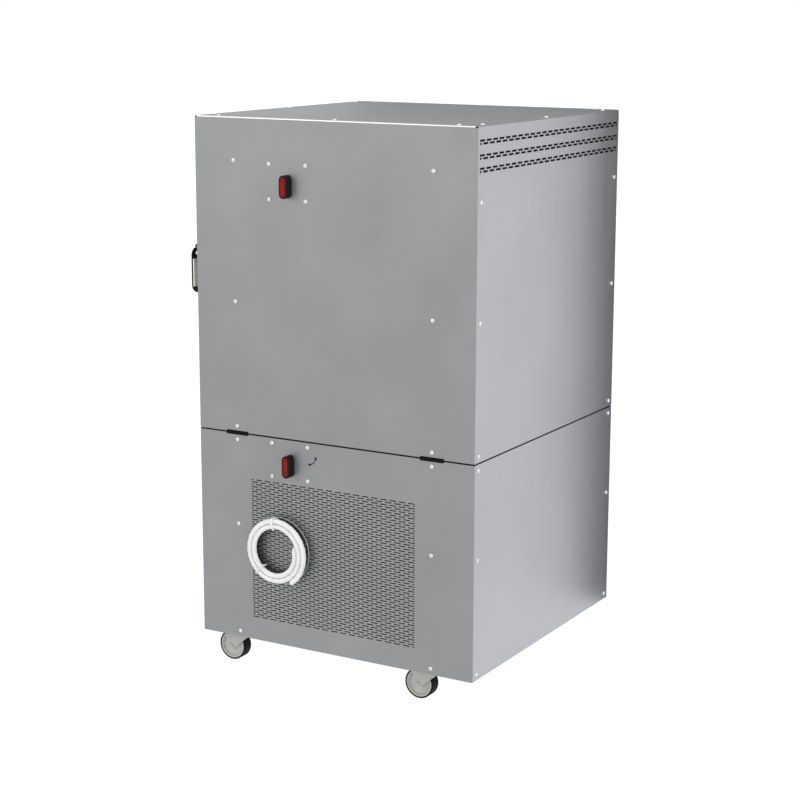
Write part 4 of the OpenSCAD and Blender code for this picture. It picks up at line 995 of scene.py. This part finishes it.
def castor(corner):
    wheel_low, wheel_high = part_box("castor_wheel_" + corner)
    hub = (wheel_low + wheel_high) / 2
    tyre_profile = [(26.5, -10.5), (28, -12), (28.8, -12), (30, -10.6), (30, 10.6), (28.8, 12), (28, 12), (26.5, 10.5)]
    disc_profile = [(4.05, -12.6), (8, -12.6), (9, -12), (10.5, -8.2), (21.5, -7.4), (23.6, -10.6), (26.6, -10.8),
                    (26.6, 10.8), (23.6, 10.6), (21.5, 7.4), (10.5, 8.2), (9, 12), (8, 12.6), (4.05, 12.6)]
    tyre = smooth(lathe("tyre_" + corner, tyre_profile, hub, 64), 40)
    disc = smooth(lathe("disc_" + corner, disc_profile, hub, 48), 30)
    fit_out(tyre, "wheel_" + corner, tyre_black, "castor_wheel_" + corner, slot="wheel")
    fit_out(disc, "wheel_" + corner, grey_nylon, slot="grey_fork")
    fork = node_copy("castor_fork_" + corner, "fork_" + corner, 0.6 * MM, 2)
    fit_out(fork, "castor_" + corner, grey_fork, "castor_fork_" + corner, slot="grey_fork")


for corner in ("fr", "fl", "rr", "rl"):
    castor(corner)

# ---- Door handle: a lug with ears and a pin, and a lever that pivots on it

mount_low, mount_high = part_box("handle_mount")
lever_low, lever_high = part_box("handle_lever")
pin_y, pin_z = mount_low.y + 7 * MM, mount_high.z - 18 * MM


def about_pin(points):
    """Turns (y, z) points in millimetres from the pin into places."""
    return [(pin_y + y * MM, pin_z + z * MM) for y, z in points]


lug_under = [(11.8 * math.cos(math.radians(a)), 11.8 * math.sin(math.radians(a))) for a in range(60, 119, 9)]
lug = extrude("handle_lug", about_pin(
    [(13, -22), (13, 18), (1.5, 18), (-1.8, 17.2), (-4.2, 15.4), (-5.4, 13), (-5.6, 10.6)]
    + lug_under[::-1] + [(9, 9.5), (9, -22)]), mount_low.x, mount_high.x)
ear_line = [(7 * math.cos(math.radians(a)), 7 * math.sin(math.radians(a))) for a in range(90, 271, 15)]
ears = [extrude("handle_ear", about_pin([(12, 7)] + ear_line + [(12, -7)]), x, x + 4 * MM)
        for x in (mount_low.x, mount_high.x - 4 * MM)]
mount = join("handle_base", [round_edges(part, 0.5 * MM, 2) for part in [lug] + ears])
fit_out(mount, "door", black_abs, "handle_mount", slot="black_plastic")
pin = join("handle_pin", [
    rod("pin", (mount_low.x - 0.6 * MM, pin_y, pin_z), (mount_high.x + 0.6 * MM, pin_y, pin_z), 2.4 * MM, 24),
    rod("pin_head", (mount_high.x, pin_y, pin_z), (mount_high.x + 1.4 * MM, pin_y, pin_z), 2.8 * MM, 24)])
fit_out(round_edges(pin, 0.3 * MM, 2), "door", screw_steel, slot="screw_steel")

shell = extrude("lever_shell", about_pin([
    (-2, 11), (-5, 10), (-7.6, 8.2), (-9.4, 6.1), (-10.6, 3.6), (-11.8, 1.2), (-12.7, -1.8), (-13, -5), (-13, -64),
    (-12.6, -67), (-11.2, -70.4), (-8.8, -73.2), (-5.6, -75.2), (-2, -76), (1, -76), (1, -71.5), (-3, -71),
    (-6.4, -69.6), (-8.8, -67.2), (-9.8, -64), (-9.8, -7), (-9.2, -1), (-8.8, 2), (-7.4, 5.3),
    (-5.2, 7.5), (-2.4, 8.8)]),
    lever_low.x, lever_high.x)
hub_line = [(7 * math.cos(math.radians(a)), 7 * math.sin(math.radians(a))) for a in range(-90, 91, 15)]
hub = extrude("lever_hub", about_pin([(-10, -7)] + hub_line + [(-8.4, 7), (-10, 3)]),
              mount_low.x + 4.2 * MM, mount_high.x - 4.2 * MM)
hub = cut(hub, rod("pin_hole", (lever_low.x, pin_y, pin_z), (lever_high.x, pin_y, pin_z), 2.8 * MM, 32))
lever = join("handle_paddle", [round_edges(shell, 0.7 * MM, 2), round_edges(hub, 0.3 * MM, 2)])
fit_out(lever, "lever", black_abs, "handle_lever", slot="black_plastic")
insert_low, insert_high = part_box("handle_insert")
plate = block("handle_plate", (lever_low.x + 0.7 * MM, pin_y - 10 * MM, insert_low.z),
              (lever_high.x - 0.7 * MM, insert_high.y, insert_high.z))
fit_out(round_edges(plate, 0.5 * MM, 2), "lever", cream_plate_painted_light, "handle_insert", slot="bright_insert")

# ---- Sizes: the box round everything that renders

bpy.context.view_layer.update()
low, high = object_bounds()
